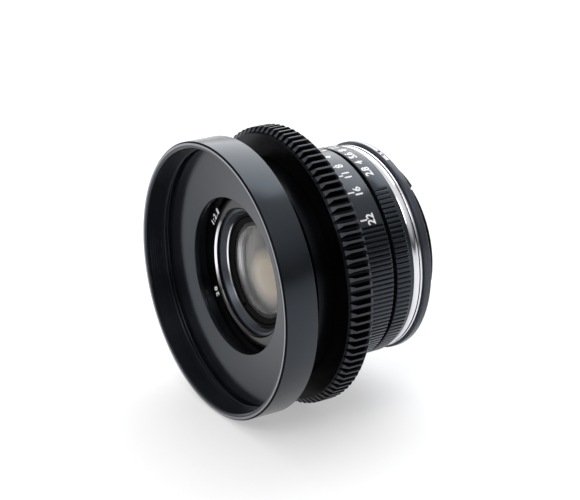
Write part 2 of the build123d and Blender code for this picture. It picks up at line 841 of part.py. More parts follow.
# Guide keys: stop the lens carrier from turning
key_floor = helicoid_radius - key_depth + running
key_top = sqrt((barrel_bore - fit) ** 2 - (key_width / 2) ** 2)
key_screw_end = helicoid_radius + 0.5
with BuildPart() as guide_keys:
    for angle in key_angles:
        with BuildSketch(outward(angle, key_station, key_floor)):
            Rectangle(key_length, key_width)
        extrude(amount=key_top - key_floor)
        with BuildSketch(outward(angle, key_station, key_screw_end - fit)):
            with GridLocations(key_screw_spacing, 0, 2, 1):
                Circle(key_screw_radius + fit)
        extrude(amount=barrel_bore - key_screw_end + cut, mode=Mode.SUBTRACT)
guide_keys.part.label = "guide_keys"
export_step(guide_keys.part, "parts/guide_keys.step")

with BuildPart() as key_screws:
    for angle in key_angles:
        with BuildSketch(outward(angle, key_station, key_screw_end)):
            with GridLocations(key_screw_spacing, 0, 2, 1):
                Circle(key_screw_radius)
        extrude(amount=seat_radius - key_head_thickness - key_screw_end)
        with BuildSketch(outward(angle, key_station, seat_radius - key_head_thickness)):
            with GridLocations(key_screw_spacing, 0, 2, 1):
                Circle(key_head_radius)
        extrude(amount=key_head_thickness - 2 * fit)
key_screws.part.label = "key_screws"
export_step(key_screws.part, "parts/key_screws.step")

# Focus stop: a pin in the barrel that runs in a groove of the focus ring
with BuildPart() as focus_stop_pin:
    with BuildSketch(outward(stop_pin_angle, stop_station, sleeve_radius + 2 * running)):
        Circle(stop_pin_radius)
    extrude(amount=journal_radius + stop_pin_reach - sleeve_radius - 2 * running)
focus_stop_pin.part.label = "focus_stop_pin"
export_step(focus_stop_pin.part, "parts/focus_stop_pin.step")

# Brass focus helicoid: threaded sleeve with a flange that is screwed to the focus ring
sleeve_front = focus_front + sleeve_recess
flange_seat = sleeve_front + sleeve_flange_thickness
focus_screw_circle = (sleeve_flange_radius + journal_radius + 2 * running) / 2
focus_screw_radius = 0.4
focus_screw_head = 0.7
focus_screw_sink = 0.5
focus_screw_depth = 2.0
with BuildPart() as focus_helicoid:
    with BuildSketch():
        Polygon(
            (helicoid_radius + running, sleeve_front),
            (sleeve_flange_radius, sleeve_front),
            (sleeve_flange_radius, flange_seat),
            (sleeve_radius, flange_seat),
            (sleeve_radius, sleeve_front + sleeve_length),
            (helicoid_radius + running, sleeve_front + sleeve_length),
        )
    revolve(axis=Axis.Y)
    with BuildSketch(across(sleeve_front)):
        with PolarLocations(focus_screw_circle, 3, start_angle=30):
            Circle(focus_screw_radius + fit)
    extrude(amount=-sleeve_flange_thickness, mode=Mode.SUBTRACT)
    with BuildSketch(across(sleeve_front)):
        with PolarLocations(focus_screw_circle, 3, start_angle=30):
            Circle(focus_screw_head + fit)
    extrude(amount=-focus_screw_sink, mode=Mode.SUBTRACT)
focus_helicoid.part.label = "focus_helicoid"
export_step(focus_helicoid.part, "parts/focus_helicoid.step")

with BuildPart() as focus_screws:
    with BuildSketch(across(sleeve_front + focus_screw_sink)):
        with PolarLocations(focus_screw_circle, 3, start_angle=30):
            Circle(focus_screw_head)
    extrude(amount=focus_screw_sink - fit)
    with BuildSketch(across(sleeve_front + focus_screw_sink)):
        with PolarLocations(focus_screw_circle, 3, start_angle=30):
            Circle(focus_screw_radius)
    extrude(amount=-focus_screw_depth)
focus_screws.part.label = "focus_screws"
export_step(focus_screws.part, "parts/focus_screws.step")

# Ring on the sleeve's end that keeps the focus ring from coming off
retainer_front = pocket_front + side_play
with BuildPart() as helicoid_retainer:
    with BuildSketch():
        Polygon(
            (sleeve_radius + fit, retainer_front),
            (barrel_bore - 2 * running, retainer_front),
            (barrel_bore - 2 * running, retainer_front + retainer_length),
            (sleeve_radius + fit, retainer_front + retainer_length),
        )
    revolve(axis=Axis.Y)
helicoid_retainer.part.label = "helicoid_retainer"
export_step(helicoid_retainer.part, "parts/helicoid_retainer.step")

# Focus ring: shell over the journal, pocket for the sleeve's flange, groove for the stop pin
stop_groove_radius = journal_radius + stop_pin_reach + side_play
stop_margin = angle_of(stop_pin_radius, journal_radius) + slot_spare_angle
with BuildPart() as focus_ring:
    with BuildSketch():
        Polygon(
            (sleeve_flange_radius + fit, focus_front),
            (focus_radius - edge_chamfer, focus_front),
            (focus_radius, focus_front + edge_chamfer),
            (focus_radius, focus_rear),
            (journal_radius + running, focus_rear),
            (journal_radius + running, flange_seat),
            (sleeve_flange_radius + fit, flange_seat),
        )
    revolve(axis=Axis.Y)
    with BuildSketch(meridian(stop_pin_angle - focus_throw - stop_margin)):
        Polygon(
            (journal_radius - cut, stop_station - stop_pin_radius - side_play),
            (stop_groove_radius, stop_station - stop_pin_radius - side_play),
            (stop_groove_radius, stop_station + stop_pin_radius + side_play),
            (journal_radius - cut, stop_station + stop_pin_radius + side_play),
        )
    revolve(axis=Axis.Y, revolution_arc=focus_throw + 2 * stop_margin, mode=Mode.SUBTRACT)
    with BuildSketch(across(flange_seat)):
        with PolarLocations(focus_screw_circle, 3, start_angle=30):
            Circle(focus_screw_radius + fit)
    extrude(amount=-focus_screw_depth, mode=Mode.SUBTRACT)
focus_ring.part.label = "focus_ring"
export_step(focus_ring.part, "parts/focus_ring.step")

# Gear on the focus ring: straight-flanked involute teeth with bevelled ends
pitch_radius = gear_module * gear_teeth / 2
tip_radius = pitch_radius + gear_module
root_radius = pitch_radius - 1.25 * gear_module


def involute(angle):
    """Involute function of an angle in radians."""
    return tan(angle) - angle


def tooth_half_angle(radius):
    """Half the angle in degrees that a tooth spans at this radius."""
    base = pitch_radius * cos(radians(pressure_angle))
    local = 0.0
    if radius > base:
        local = involute(acos(base / radius))
    return degrees(pi / (2 * gear_teeth) + involute(radians(pressure_angle)) - local)


tip_half = tooth_half_angle(tip_radius)
root_half = tooth_half_angle(root_radius)
outline = []
for tooth in range(gear_teeth):
    middle = 360.0 * tooth / gear_teeth
    outline.append(polar(root_radius, middle - root_half))
    outline.append(polar(tip_radius, middle - tip_half))
    outline.append(polar(tip_radius, middle + tip_half))
    outline.append(polar(root_radius, middle + root_half))
tooth_height = tip_radius - root_radius
with BuildPart() as focus_gear:
    with BuildSketch(across(gear_rear)):
        Polygon(*outline)
        Circle(focus_radius + fit, mode=Mode.SUBTRACT)
    extrude(amount=gear_length)
    with BuildSketch():
        Polygon(
            (focus_radius - cut, gear_front),
            (root_radius, gear_front),
            (tip_radius + cut, gear_front + tooth_height + cut),
            (tip_radius + cut, gear_rear - gear_rear_chamfer - cut),
            (tip_radius - gear_rear_chamfer - cut, gear_rear + cut),
            (focus_radius - cut, gear_rear + cut),
        )
    revolve(axis=Axis.Y, mode=Mode.INTERSECT)
focus_gear.part.label = "focus_gear"
export_step(focus_gear.part, "parts/focus_gear.step")


def rib_cutter(radius, pitch):
    """Corners of one groove between two ribs, drawn with local X outwards."""
    half_mouth = radians(pitch) * radius * rib_mouth_share / 2
    return (
        (cut, -half_mouth),
        (cut, half_mouth),
        (0, half_mouth),
        (-rib_depth, 0),
        (0, -half_mouth),
    )


def rib_places(pitch, plain_half, plain_middle):
    """How many grooves fit outside the plain sector, and the local angle of the first one."""
    ribbed = 360.0 - 2 * plain_half
    count = int(ribbed / pitch) + 1
    spare = ribbed - (count - 1) * pitch
    last = plain_middle + 360.0 - plain_half - spare / 2
    return count, 90.0 - last


# Scale ring: fixed, plain where the figures are, ribbed over the rest
with BuildPart() as scale_ring:
    with BuildSketch():
        Polygon(
            (seat_radius + fit, scale_front),
            (scale_radius, scale_front),
            (scale_radius, scale_rear),
            (seat_radius + fit, scale_rear),
        )
    revolve(axis=Axis.Y)
    rib_count, rib_start = rib_places(scale_rib_pitch, scale_plain_half_angle, index_angle)
    rib_arc = (rib_count - 1) * scale_rib_pitch
    with BuildSketch(across(scale_rear + cut)):
        with PolarLocations(scale_radius, rib_count, rib_start, rib_arc, endpoint=True):
            Polygon(*rib_cutter(scale_radius, scale_rib_pitch))
    extrude(amount=scale_length + 2 * cut, mode=Mode.SUBTRACT)
scale_ring.part.label = "scale_ring"
export_step(scale_ring.part, "parts/scale_ring.step")

# Aperture ring: tapers to the rear, ribbed at the front, plain band at the rear
with BuildPart() as aperture_ring:
    with BuildSketch():
        Polygon(
            (journal_radius + running, aperture_front),
            (aperture_front_radius, aperture_front),
            (aperture_front_radius, aperture_front + aperture_rib_length),
            (aperture_rear_radius, aperture_front + aperture_rib_length + edge_chamfer),
            (aperture_rear_radius, aperture_rear),
            (journal_radius + running, aperture_rear),
        )
    revolve(axis=Axis.Y)
    figures_middle = index_angle + (opening_turn - closing_turn) / 2
    rib_count, rib_start = rib_places(aperture_rib_pitch, aperture_plain_half_angle, figures_middle)
    rib_arc = (rib_count - 1) * aperture_rib_pitch
    with BuildSketch(across(aperture_front + aperture_rib_length)):
        with PolarLocations(aperture_front_radius, rib_count, rib_start, rib_arc, endpoint=True):
            Polygon(*rib_cutter(aperture_front_radius, aperture_rib_pitch))
    extrude(amount=aperture_rib_length + cut, mode=Mode.SUBTRACT)
    with BuildSketch(outward(fork_angle, drive_station, barrel_bore)):
        Circle(drive_screw_radius + fit)
    extrude(amount=aperture_front_radius, mode=Mode.SUBTRACT)
    with BuildSketch(outward(fork_angle, drive_station, aperture_rear_radius - drive_head_thickness - fit)):
        Circle(drive_head_radius + fit)
    extrude(amount=cut, mode=Mode.SUBTRACT)
aperture_ring.part.label = "aperture_ring"
export_step(aperture_ring.part, "parts/aperture_ring.step")

# Screw that ties the fork to the aperture ring through the slot of the barrel
drive_screw_end = fork_outer_radius - drive_screw_depth
with BuildPart() as drive_screw:
    with BuildSketch(outward(fork_angle, drive_station, drive_screw_end)):
        Circle(drive_screw_radius)
    extrude(amount=aperture_rear_radius - drive_head_thickness - drive_screw_end)
    with BuildSketch(outward(fork_angle, drive_station, aperture_rear_radius - drive_head_thickness)):
        Circle(drive_head_radius)
    extrude(amount=drive_head_thickness - 2 * fit)
drive_screw.part.label = "drive_screw"
export_step(drive_screw.part, "parts/drive_screw.step")

# Aperture fork: its tines take the iris arm wherever the lens block stands
retainer_rear_end = retainer_front + retainer_length
fork_front = retainer_rear_end + fork_front_gap
fork_rear = flange_front - spigot_length - fork_rear_gap
tine_root = arm_station + arm_radius + side_play
with BuildPart() as aperture_fork:
    with BuildSketch(meridian(fork_angle - fork_half_angle)):
        Polygon(
            (fork_inner_radius, fork_front),
            (fork_outer_radius, fork_front),
            (fork_outer_radius, fork_rear),
            (fork_inner_radius, fork_rear),
        )
    revolve(axis=Axis.Y, revolution_arc=2 * fork_half_angle)
    with BuildSketch(outward(fork_angle, (fork_front - cut + tine_root) / 2, fork_inner_radius - cut)):
        Rectangle(tine_root - fork_front + cut, 2 * (arm_radius + running))
    extrude(amount=fork_outer_radius - fork_inner_radius + 2 * cut, mode=Mode.SUBTRACT)
    with BuildSketch(outward(fork_angle, drive_station, drive_screw_end - fit)):
        Circle(drive_screw_radius + fit / 2)
    extrude(amount=drive_screw_depth + cut, mode=Mode.SUBTRACT)
aperture_fork.part.label = "aperture_fork"
export_step(aperture_fork.part, "parts/aperture_fork.step")

# Chrome ring: two polished bands with a fine groove between them
chrome_band = 1.9
chrome_crown = 0.25
chrome_groove = 0.25
with BuildPart() as chrome_ring:
    with BuildSketch():
        Polygon(
            (journal_radius + fit, chrome_front),
            (chrome_radius - chrome_crown, chrome_front),
            (chrome_radius, chrome_front + chrome_crown),
            (chrome_radius, chrome_front + chrome_band),
            (chrome_radius - chrome_groove, chrome_front + chrome_band + chrome_groove / 2),
            (chrome_radius, chrome_front + chrome_band + chrome_groove),
            (chrome_radius, chrome_rear),
            (journal_radius + fit, chrome_rear),
        )
    revolve(axis=Axis.Y)
chrome_ring.part.label = "chrome_ring"
export_step(chrome_ring.part, "parts/chrome_ring.step")

# Flange ring: black collar with the index pad, and a spigot screwed into the barrel
bayonet_seat = -bayonet_flange_thickness
pad_length = flange_length - 2 * index_pad_margin - edge_chamfer
with BuildPart() as mount_flange:
    with BuildSketch():
        Polygon(
            (journal_radius - fit, flange_front),
            (flange_radius, flange_front),
            (flange_radius, flange_rear - edge_chamfer),
            (flange_radius - edge_chamfer, flange_rear),
            (bayonet_flange_radius + fit, flange_rear),
            (bayonet_flange_radius + fit, bayonet_seat),
            (spigot_bore, bayonet_seat),
            (spigot_bore, flange_front - spigot_length),
            (spigot_radius, flange_front - spigot_length),
            (spigot_radius, flange_front),
        )
    revolve(axis=Axis.Y)
    with BuildSketch(meridian(index_angle - index_pad_span / 2)):
        Polygon(
            (flange_radius - edge_chamfer, flange_front + index_pad_margin),
            (flange_radius + index_pad_height, flange_front + index_pad_margin),
            (flange_radius + index_pad_height, flange_front + index_pad_margin + pad_length),
            (flange_radius - edge_chamfer, flange_front + index_pad_margin + pad_length),
        )
    revolve(axis=Axis.Y, revolution_arc=index_pad_span)
    pad_station = flange_front + index_pad_margin + pad_length / 2
    with BuildSketch(outward(bead_angle, pad_station, flange_radius)):
        Circle(bead_radius + fit / 2)
    extrude(amount=cut, mode=Mode.SUBTRACT)
    with BuildSketch(outward(pip_angle, pad_station, flange_radius)):
        Circle(pip_radius)
    extrude(amount=cut, mode=Mode.SUBTRACT)
    with BuildSketch(across(bayonet_seat)):
        with PolarLocations(bayonet_screw_circle, bayonet_screw_count):
            Circle(bayonet_screw_radius + fit)
    extrude(amount=flange_length + spigot_length, mode=Mode.SUBTRACT)
mount_flange.part.label = "mount_flange"
export_step(mount_flange.part, "parts/mount_flange.step")

with BuildPart() as index_bead:
    with BuildSketch(outward(bead_angle, pad_station, flange_radius)):
        Circle(bead_radius)
    extrude(amount=index_pad_height + bead_height)
    fillet(index_bead.faces().sort_by(lambda face: -face.center().length).first.edges(), bead_height * 0.8)
index_bead.part.label = "index_bead"
export_step(index_bead.part, "parts/index_bead.step")

# Bayonet: register face, neck and claws
with BuildPart() as bayonet:
    with BuildSketch():
        Polygon(
            (throat_radius, bayonet_seat),
            (bayonet_flange_radius, bayonet_seat),
            (bayonet_flange_radius, 0),
            (register_inner_radius, 0),
            (register_inner_radius, -register_relief),
            (neck_radius, -register_relief),
            (neck_radius, neck_length),
            (throat_radius, neck_length),
        )
    revolve(axis=Axis.Y)
    for claw in range(claw_count):
        with BuildSketch(meridian(claw_start + claw * 360.0 / claw_count)):
            Polygon(
                (neck_radius - edge_chamfer, neck_length - claw_thickness),
                (claw_radius, neck_length - claw_thickness),
                (claw_radius, neck_length - edge_chamfer),
                (claw_radius - edge_chamfer, neck_length),
                (neck_radius - edge_chamfer, neck_length),
            )
        revolve(axis=Axis.Y, revolution_arc=claw_span)
    with BuildSketch(meridian(claw_start - lug_notch - lug_span)):
        Polygon(
            (neck_radius - edge_chamfer, neck_length - claw_thickness),
            (lug_radius, neck_length - claw_thickness),
            (lug_radius, neck_length),
            (neck_radius - edge_chamfer, neck_length),
        )
    revolve(axis=Axis.Y, revolution_arc=lug_span)
    with BuildSketch(across(bayonet_seat)):
        with PolarLocations(bayonet_screw_circle, bayonet_screw_count):
            Circle(bayonet_screw_radius + fit)
    extrude(amount=-bayonet_flange_thickness, mode=Mode.SUBTRACT)
    with BuildSketch(across(0)):
        with PolarLocations(bayonet_screw_circle, bayonet_screw_count):
            Circle(bayonet_head_radius + fit)
    extrude(amount=bayonet_head_thickness + bayonet_head_sink, mode=Mode.SUBTRACT)
    with BuildSketch(outward(lock_notch_angle, 0, bayonet_flange_radius - lock_notch_depth)):
        Rectangle(2 * bayonet_head_thickness, lock_notch_width)
    extrude(amount=lock_notch_depth + cut, mode=Mode.SUBTRACT)
bayonet.part.label = "bayonet"
export_step(bayonet.part, "parts/bayonet.step")

with BuildPart() as bayonet_screws:
    with BuildSketch(across(-bayonet_head_sink)):
        with PolarLocations(bayonet_screw_circle, bayonet_screw_count):
            Circle(bayonet_head_radius)
    extrude(amount=bayonet_head_thickness)
    with BuildSketch(across(-bayonet_head_sink - bayonet_head_thickness)):
        with PolarLocations(bayonet_screw_circle, bayonet_screw_count):
            Circle(bayonet_screw_radius)
    extrude(amount=bayonet_flange_thickness + flange_length)
bayonet_screws.part.label = "bayonet_screws"
export_step(bayonet_screws.part, "parts/bayonet_screws.step")

# Light shield: ridged black ring in the throat
shield_front = rear_cell_rear + shield_front_gap
shield_rear = neck_length - shield_front_gap
shield_middle = (shield_front + shield_rear) / 2
with BuildPart() as light_shield:
    with BuildSketch():
        Polygon(
            (shield_bore, shield_front),
            (throat_radius - fit, shield_front),
            (throat_radius - fit, shield_rear),
            (throat_radius - shield_ridge, shield_rear),
            (shield_bore, shield_middle + shield_ridge),
        )
    revolve(axis=Axis.Y)
light_shield.part.label = "light_shield"
export_step(light_shield.part, "parts/light_shield.step")

print(f"focus travel {focus_travel:.3f} mm over {focus_throw:.1f} degrees")
print(f"aperture ring -{opening_turn:.1f} to {closing_turn:.1f} degrees, blade ratio {blade_ratio:.5f}")
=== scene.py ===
"""Looks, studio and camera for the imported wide-angle prime lens.

The CAD pack is the fixed frame. The optical axis is Y and the front of the lens faces -Y. A station is a
place along Y, and an angle round the axis is measured from +Z towards +X. Lengths in the pieces' fields are
millimetres and angles are degrees; Blender itself works in metres.
"""

import logging
import math
from dataclasses import dataclass, replace
from enum import Enum
from functools import partial
from typing import Iterable, Optional, Union

import bmesh
import bpy
from bpy.types import Material, NodeSocket, Object
from mathutils import Matrix, Vector

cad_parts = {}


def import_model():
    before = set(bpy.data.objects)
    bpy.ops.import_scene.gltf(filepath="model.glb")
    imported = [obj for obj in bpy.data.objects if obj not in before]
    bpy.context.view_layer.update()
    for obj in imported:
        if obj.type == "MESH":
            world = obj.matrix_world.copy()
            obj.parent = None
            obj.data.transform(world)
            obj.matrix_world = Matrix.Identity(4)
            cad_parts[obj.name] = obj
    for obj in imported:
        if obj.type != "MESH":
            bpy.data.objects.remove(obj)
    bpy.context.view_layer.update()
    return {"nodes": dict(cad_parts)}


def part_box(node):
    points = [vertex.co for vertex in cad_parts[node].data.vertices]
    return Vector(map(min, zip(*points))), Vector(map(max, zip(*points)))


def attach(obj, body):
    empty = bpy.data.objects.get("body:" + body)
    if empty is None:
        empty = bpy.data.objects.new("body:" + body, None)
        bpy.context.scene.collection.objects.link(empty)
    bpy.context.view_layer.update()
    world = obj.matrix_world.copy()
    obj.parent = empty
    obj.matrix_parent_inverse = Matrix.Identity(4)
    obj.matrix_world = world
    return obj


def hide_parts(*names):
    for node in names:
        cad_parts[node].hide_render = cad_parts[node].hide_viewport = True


BMesh = bmesh.types.BMesh
Profile = list[tuple[float, ...]]
Value = Union[float, tuple, Vector, NodeSocket]
MM = 0.001
MERGE = 0.0005
SHARP = math.radians(32)
ACROSS = (1.0, 0.0, 1.0)
WHITE = (1.0, 1.0, 1.0)
NIGHT = (0.0006, 0.0006, 0.0008)
DUSK = (0.002, 0.002, 0.002)
LOG = logging.getLogger("lens")


class Body(str, Enum):
    """CAD bodies that the pieces ride on."""

    BARREL = "fixed_barrel"
    FOCUS = "focusing_ring"
    BLOCK = "lens_block"
    APERTURE = "aperture_control"


class Slot(str, Enum):
    """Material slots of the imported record."""

    SATIN = "satin_black"
    GEAR = "gear_black"
    GLOSS = "gloss_black"
    MATT = "matt_black"
    ALUMINIUM = "barrel_aluminium"
    BRASS = "helicoid_brass"
    CHROME = "chrome"
    STEEL = "steel"
    BLACK_STEEL = "blackened_steel"
    GLASS = "coated_glass"
    BEAD = "bead_red"


class Sweep(Enum):
    """Directions that surface marks run in."""

    ROUND = "round the axis, as turning leaves them"
    NONE = "no direction, as blasting leaves them"


class Graph:
    """Node tree with short calls for adding and linking nodes."""

    def __init__(self, tree: bpy.types.NodeTree) -> None:
        """Empty the tree of a material or world."""
        self.tree = tree
        tree.nodes.clear()

    def add(self, kind: str, sockets: Optional[dict] = None, **settings: object) -> bpy.types.Node:
        """Add a node.

        Args:
            kind: node type without its ShaderNode prefix.
            sockets: input values by name or index; an output socket given there is linked.
            settings: the node's own properties.

        Returns:
            The new node.
        """
        node = self.tree.nodes.new("ShaderNode" + kind)
        for name, value in settings.items():
            setattr(node, name, value)
        for key, value in (sockets or {}).items():
            socket = node.inputs[key]
            if isinstance(value, NodeSocket):
                self.tree.links.new(value, socket)
            else:
                socket.default_value = (*value, 1.0) if socket.type == "RGBA" else value
        return node

    def math(self, operation: str, *values: Value) -> NodeSocket:
        """Apply a Math node to numbers or output sockets."""
        return self.add("Math", dict(enumerate(values)), operation=operation).outputs[0]

    def vector(self, operation: str, *values: Value) -> NodeSocket:
        """Apply a Vector Math node to vectors or output sockets."""
        node = self.add("VectorMath", dict(enumerate(values)), operation=operation)
        return node.outputs["Value" if operation in ("DOT_PRODUCT", "DISTANCE", "LENGTH") else "Vector"]

    def blend(self, amount: NodeSocket, first: Value, second: Value) -> NodeSocket:
        """Mix two colours, each a tuple or an output socket; the amount is the share of the second."""
        return self.add("Mix", {0: amount, 6: first, 7: second}, data_type="RGBA").outputs[2]

    def spread(self, value: NodeSocket, low: float, high: float, first: float = 0.0, last: float = 1.0,
               **settings: object) -> NodeSocket:
        """Turn a value between low and high into one between first and last."""
        sockets = {"Value": value, "From Min": low, "From Max": high, "To Min": first, "To Max": last}
        return self.add("MapRange", sockets, **settings).outputs[0]

    def noise(self, place: NodeSocket, scale: float, detail: float, roughness: float = 0.5) -> NodeSocket:
        """Give the height of a noise texture."""
        sockets = {"Vector": place, "Scale": scale, "Detail": detail, "Roughness": roughness}
        return self.add("TexNoise", sockets).outputs["Fac"]

    def bump(self, height: NodeSocket, depth: float, **below: NodeSocket) -> NodeSocket:
        """Bump the surface by a depth in millimetres, over the bump that is given as its Normal, if any."""
        sockets = {"Strength": 1.0, "Distance": depth * MM, "Height": height, **below}
        return self.add("Bump", sockets).outputs[0]

    def principled(self, sockets: dict) -> None:
        """Shade the surface with a Principled shader that has these input values."""
        shader = self.add("BsdfPrincipled", sockets)
        self.add("OutputMaterial", {"Surface": shader.outputs[0]})


def surface(name: str) -> tuple[Material, Graph]:
    """Start a material.

    Args:
        name: material name.

    Returns:
        The material and its empty graph.
    """
    material = bpy.data.materials.new(name)
    material.use_nodes = True
    return material, Graph(material.node_tree)


@dataclass(frozen=True)
class Finish:
    """Procedural finish of a machined surface.

    Attributes:
        name: material name.
        colour: base colour, linear.
        worn_and_highlight: colour that edges and patches lean to with wear, and the colour of the painted highlight
            where rubbed_side is set.
        metallic: 0 for paint and anodising, 1 for bare metal.
        roughness: mean roughness.
        roughness_spread: how far roughness wanders round its mean.
        specular: specular level.
        tint: specular tint.
        grain: size of the fine grain.
        grain_height: depth of the grain.
        marks: Sweep of the tool marks.
        mark_pitch: spacing of the tool marks.
        mark_height: depth of the tool marks.
        coat: weight of the clear coat.
        black_behind: station behind which the surface is blackened.
        black: colour that it has there.
        crest_from: radius from which faces that look outwards are coloured lighter, partly as rubbing by hands and
            gears and partly as a painted sheen.
        wear_and_sheen_colour: colour that they take, partly wear and partly painted sheen.
        wear_and_sheen_metal: how metallic they are made.
        wear_and_sheen_facing: how straight outwards a face looks that is coloured so, 1 for straight.
        rubbed_side: angle round which the worn colour is laid on as a painted highlight in place of the wear, the rest
            keeping the base colour.
        painted_highlight_reach: cosines of the angles from there at which the painted highlight ends and is full.
        cloud_scale: scale of the clouds that roughness and wear follow.
        wear_edges: pointiness at which edges begin to wear and are worn.
        wear_clouds: cloud heights at which patches begin to wear and are worn.
    """

    name: str
    colour: tuple
    worn_and_highlight: tuple
    metallic: float = 0.0
    roughness: float = 0.4
    roughness_spread: float = 0.05
    specular: float = 0.5
    tint: tuple = (1.0, 1.0, 1.0)
    grain: float = 0.12
    grain_height: float = 0.004
    marks: Sweep = Sweep.ROUND
    mark_pitch: float = 0.25
    mark_height: float = 0.003
    coat: float = 0.0
    black_behind: Optional[float] = None
    black: tuple = (0.012, 0.012, 0.014)
    crest_from: Optional[float] = None
    wear_and_sheen_colour: tuple = (0.045, 0.046, 0.053)
    wear_and_sheen_metal: float = 0.02
    wear_and_sheen_facing: float = 0.6
    rubbed_side: Optional[float] = None
    painted_highlight_reach: tuple = (0.82, 0.98)
    cloud_scale: float = 90.0
    wear_edges: tuple = (0.54, 0.66)
    wear_clouds: tuple = (0.35, 0.8)

    def build(self) -> Material:
        """Build the material.

        Returns:
            The new material.
        """
        material, graph = surface(self.name)
        where = graph.add("TexCoord").outputs
        place = where["Object"]
        station = graph.add("SeparateXYZ", {0: place}).outputs[1]
        across = graph.vector("MULTIPLY", place, ACROSS)
        radius = graph.vector("LENGTH", across)
        outward = graph.vector("NORMALIZE", across)
        turned = graph.add("CombineXYZ", {0: radius, 1: station}).outputs[0]
        grain = graph.noise(place, 1 / (self.grain * MM), 3.0, 0.6)
        cloud = graph.noise(place, self.cloud_scale, 4.0, 0.55)
        marks = graph.noise(turned if self.marks is Sweep.ROUND else place, 1 / (self.mark_pitch * MM), 2.0, 0.7)
        wander = graph.math("MULTIPLY", graph.math("ADD", cloud, marks), 0.5)
        edge = graph.spread(graph.add("NewGeometry").outputs["Pointiness"], *self.wear_edges, 0.0, 0.5)
        patch = graph.spread(cloud, *self.wear_clouds, 0.0, 0.35)
        colour = graph.blend(graph.math("MAXIMUM", edge, patch), self.colour, self.worn_and_highlight)
        metallic = self.metallic
        # Painted highlight: round rubbed_side the worn colour is laid on as a bright arc, in place of the edge and
        # patch wear.
        if self.rubbed_side is not None:
            turn = math.radians(self.rubbed_side)
            side = graph.vector("DOT_PRODUCT", outward, (math.sin(turn), 0.0, math.cos(turn)))
            colour = graph.blend(graph.spread(side, *self.painted_highlight_reach), self.colour, self.worn_and_highlight)
        if self.black_behind is not None:
            behind = graph.math("GREATER_THAN", station, self.black_behind * MM)
            colour = graph.blend(behind, colour, self.black)
        # Outward faces beyond crest_from are coloured lighter: partly rubbing wear, partly a painted sheen on the tooth
        # lands.
        if self.crest_from is not None:
            high = graph.math("GREATER_THAN", radius, self.crest_from * MM)
            facing = graph.vector("DOT_PRODUCT", where["Normal"], outward)
            crest = graph.math("MULTIPLY", high, graph.math("GREATER_THAN", facing, self.wear_and_sheen_facing))
            colour = graph.blend(crest, colour, self.wear_and_sheen_colour)
            metallic = graph.math("MULTIPLY", crest, self.wear_and_sheen_metal)
        graph.principled({
            "Base Color": colour,
            "Metallic": metallic,
            "Roughness": graph.spread(wander, 0.3, 0.7, max(0.01, self.roughness - self.roughness_spread),
                                      self.roughness + self.roughness_spread),
            "Specular IOR Level": self.specular,
            "Specular Tint": self.tint,
            "Coat Weight": self.coat,
            "Coat Roughness": 0.06,
            "Normal": graph.bump(marks, self.mark_height, Normal=graph.bump(grain, self.grain_height)),
        })
        return material


@dataclass(frozen=True)
class GlassFinish:
    """Polished, coated optical glass.

    Attributes:
        name: material name.
        tint: colour that the glass lets through.
        index: refractive index, low because the coating takes reflections away.
        residue: specular tint of the coating.
        clearness: share of the light that passes.
        glow: tint of a painted patch of light on the glass, if any.
        painted_light_place: where the painted patch lies, in millimetres across and up from the axis.
        painted_light_reach: distances at which the painted patch is full and gone.
    """

    name: str
    tint: tuple
    index: float = 1.3
    residue: tuple = (0.2, 0.19, 0.18)
    clearness: float = 0.94
    glow: Optional[tuple] = None
    painted_light_place: tuple = (5.0, -0.5)
    painted_light_reach: tuple = (4.5, 9.0)

    def build(self) -> Material:
        """Build the material.

        Returns:
            The new material.
        """
        material, graph = surface(self.name)
        place = graph.add("TexCoord").outputs["Object"]
        dust = graph.noise(place, 900.0, 4.0)
        tint = self.tint
        # Painted light: a warm bright patch blended into the glass's colour round painted_light_place.
        if self.glow is not None:
            middle = (self.painted_light_place[0] * MM, 0.0, self.painted_light_place[1] * MM)
            away = graph.vector("DISTANCE", graph.vector("MULTIPLY", place, ACROSS), middle)
            full, gone = self.painted_light_reach
            tint = graph.blend(graph.spread(away, full * MM, gone * MM), self.glow, self.tint)
        graph.principled({
            "Base Color": tint,
            "Roughness": graph.spread(dust, 0.55, 0.85, 0.0, 0.006),
            "IOR": self.index,
            "Specular Tint": self.residue,
            "Transmission Weight": self.clearness,
        })
        return material


@dataclass(frozen=True)
class InkFinish:
    """Paint that fills the engraved figures.

    Attributes:
        name: material name.
        colour: paint colour.
        faded: share of the colour that thin paint keeps.
        thinning: speckle heights at which the paint begins to thin and is thin.
    """

    name: str
    colour: tuple
    faded: float = 0.8
    thinning: tuple = (0.35, 0.75)

    def build(self) -> Material:
        """Build the material.

        Returns:
            The new material.
        """
        material, graph = surface(self.name)
        speckle = graph.noise(graph.add("TexCoord").outputs["Object"], 6000.0, 3.0)
        thin = graph.spread(speckle, *self.thinning, 0.0, 0.5)
        graph.principled({
            "Base Color": graph.blend(thin, self.colour, tuple(self.faded * part for part in self.colour)),
            "Roughness": 0.55,
            "Specular IOR Level": 0.3,
            "Normal": graph.bump(speckle, 0.01),
        })
        return material


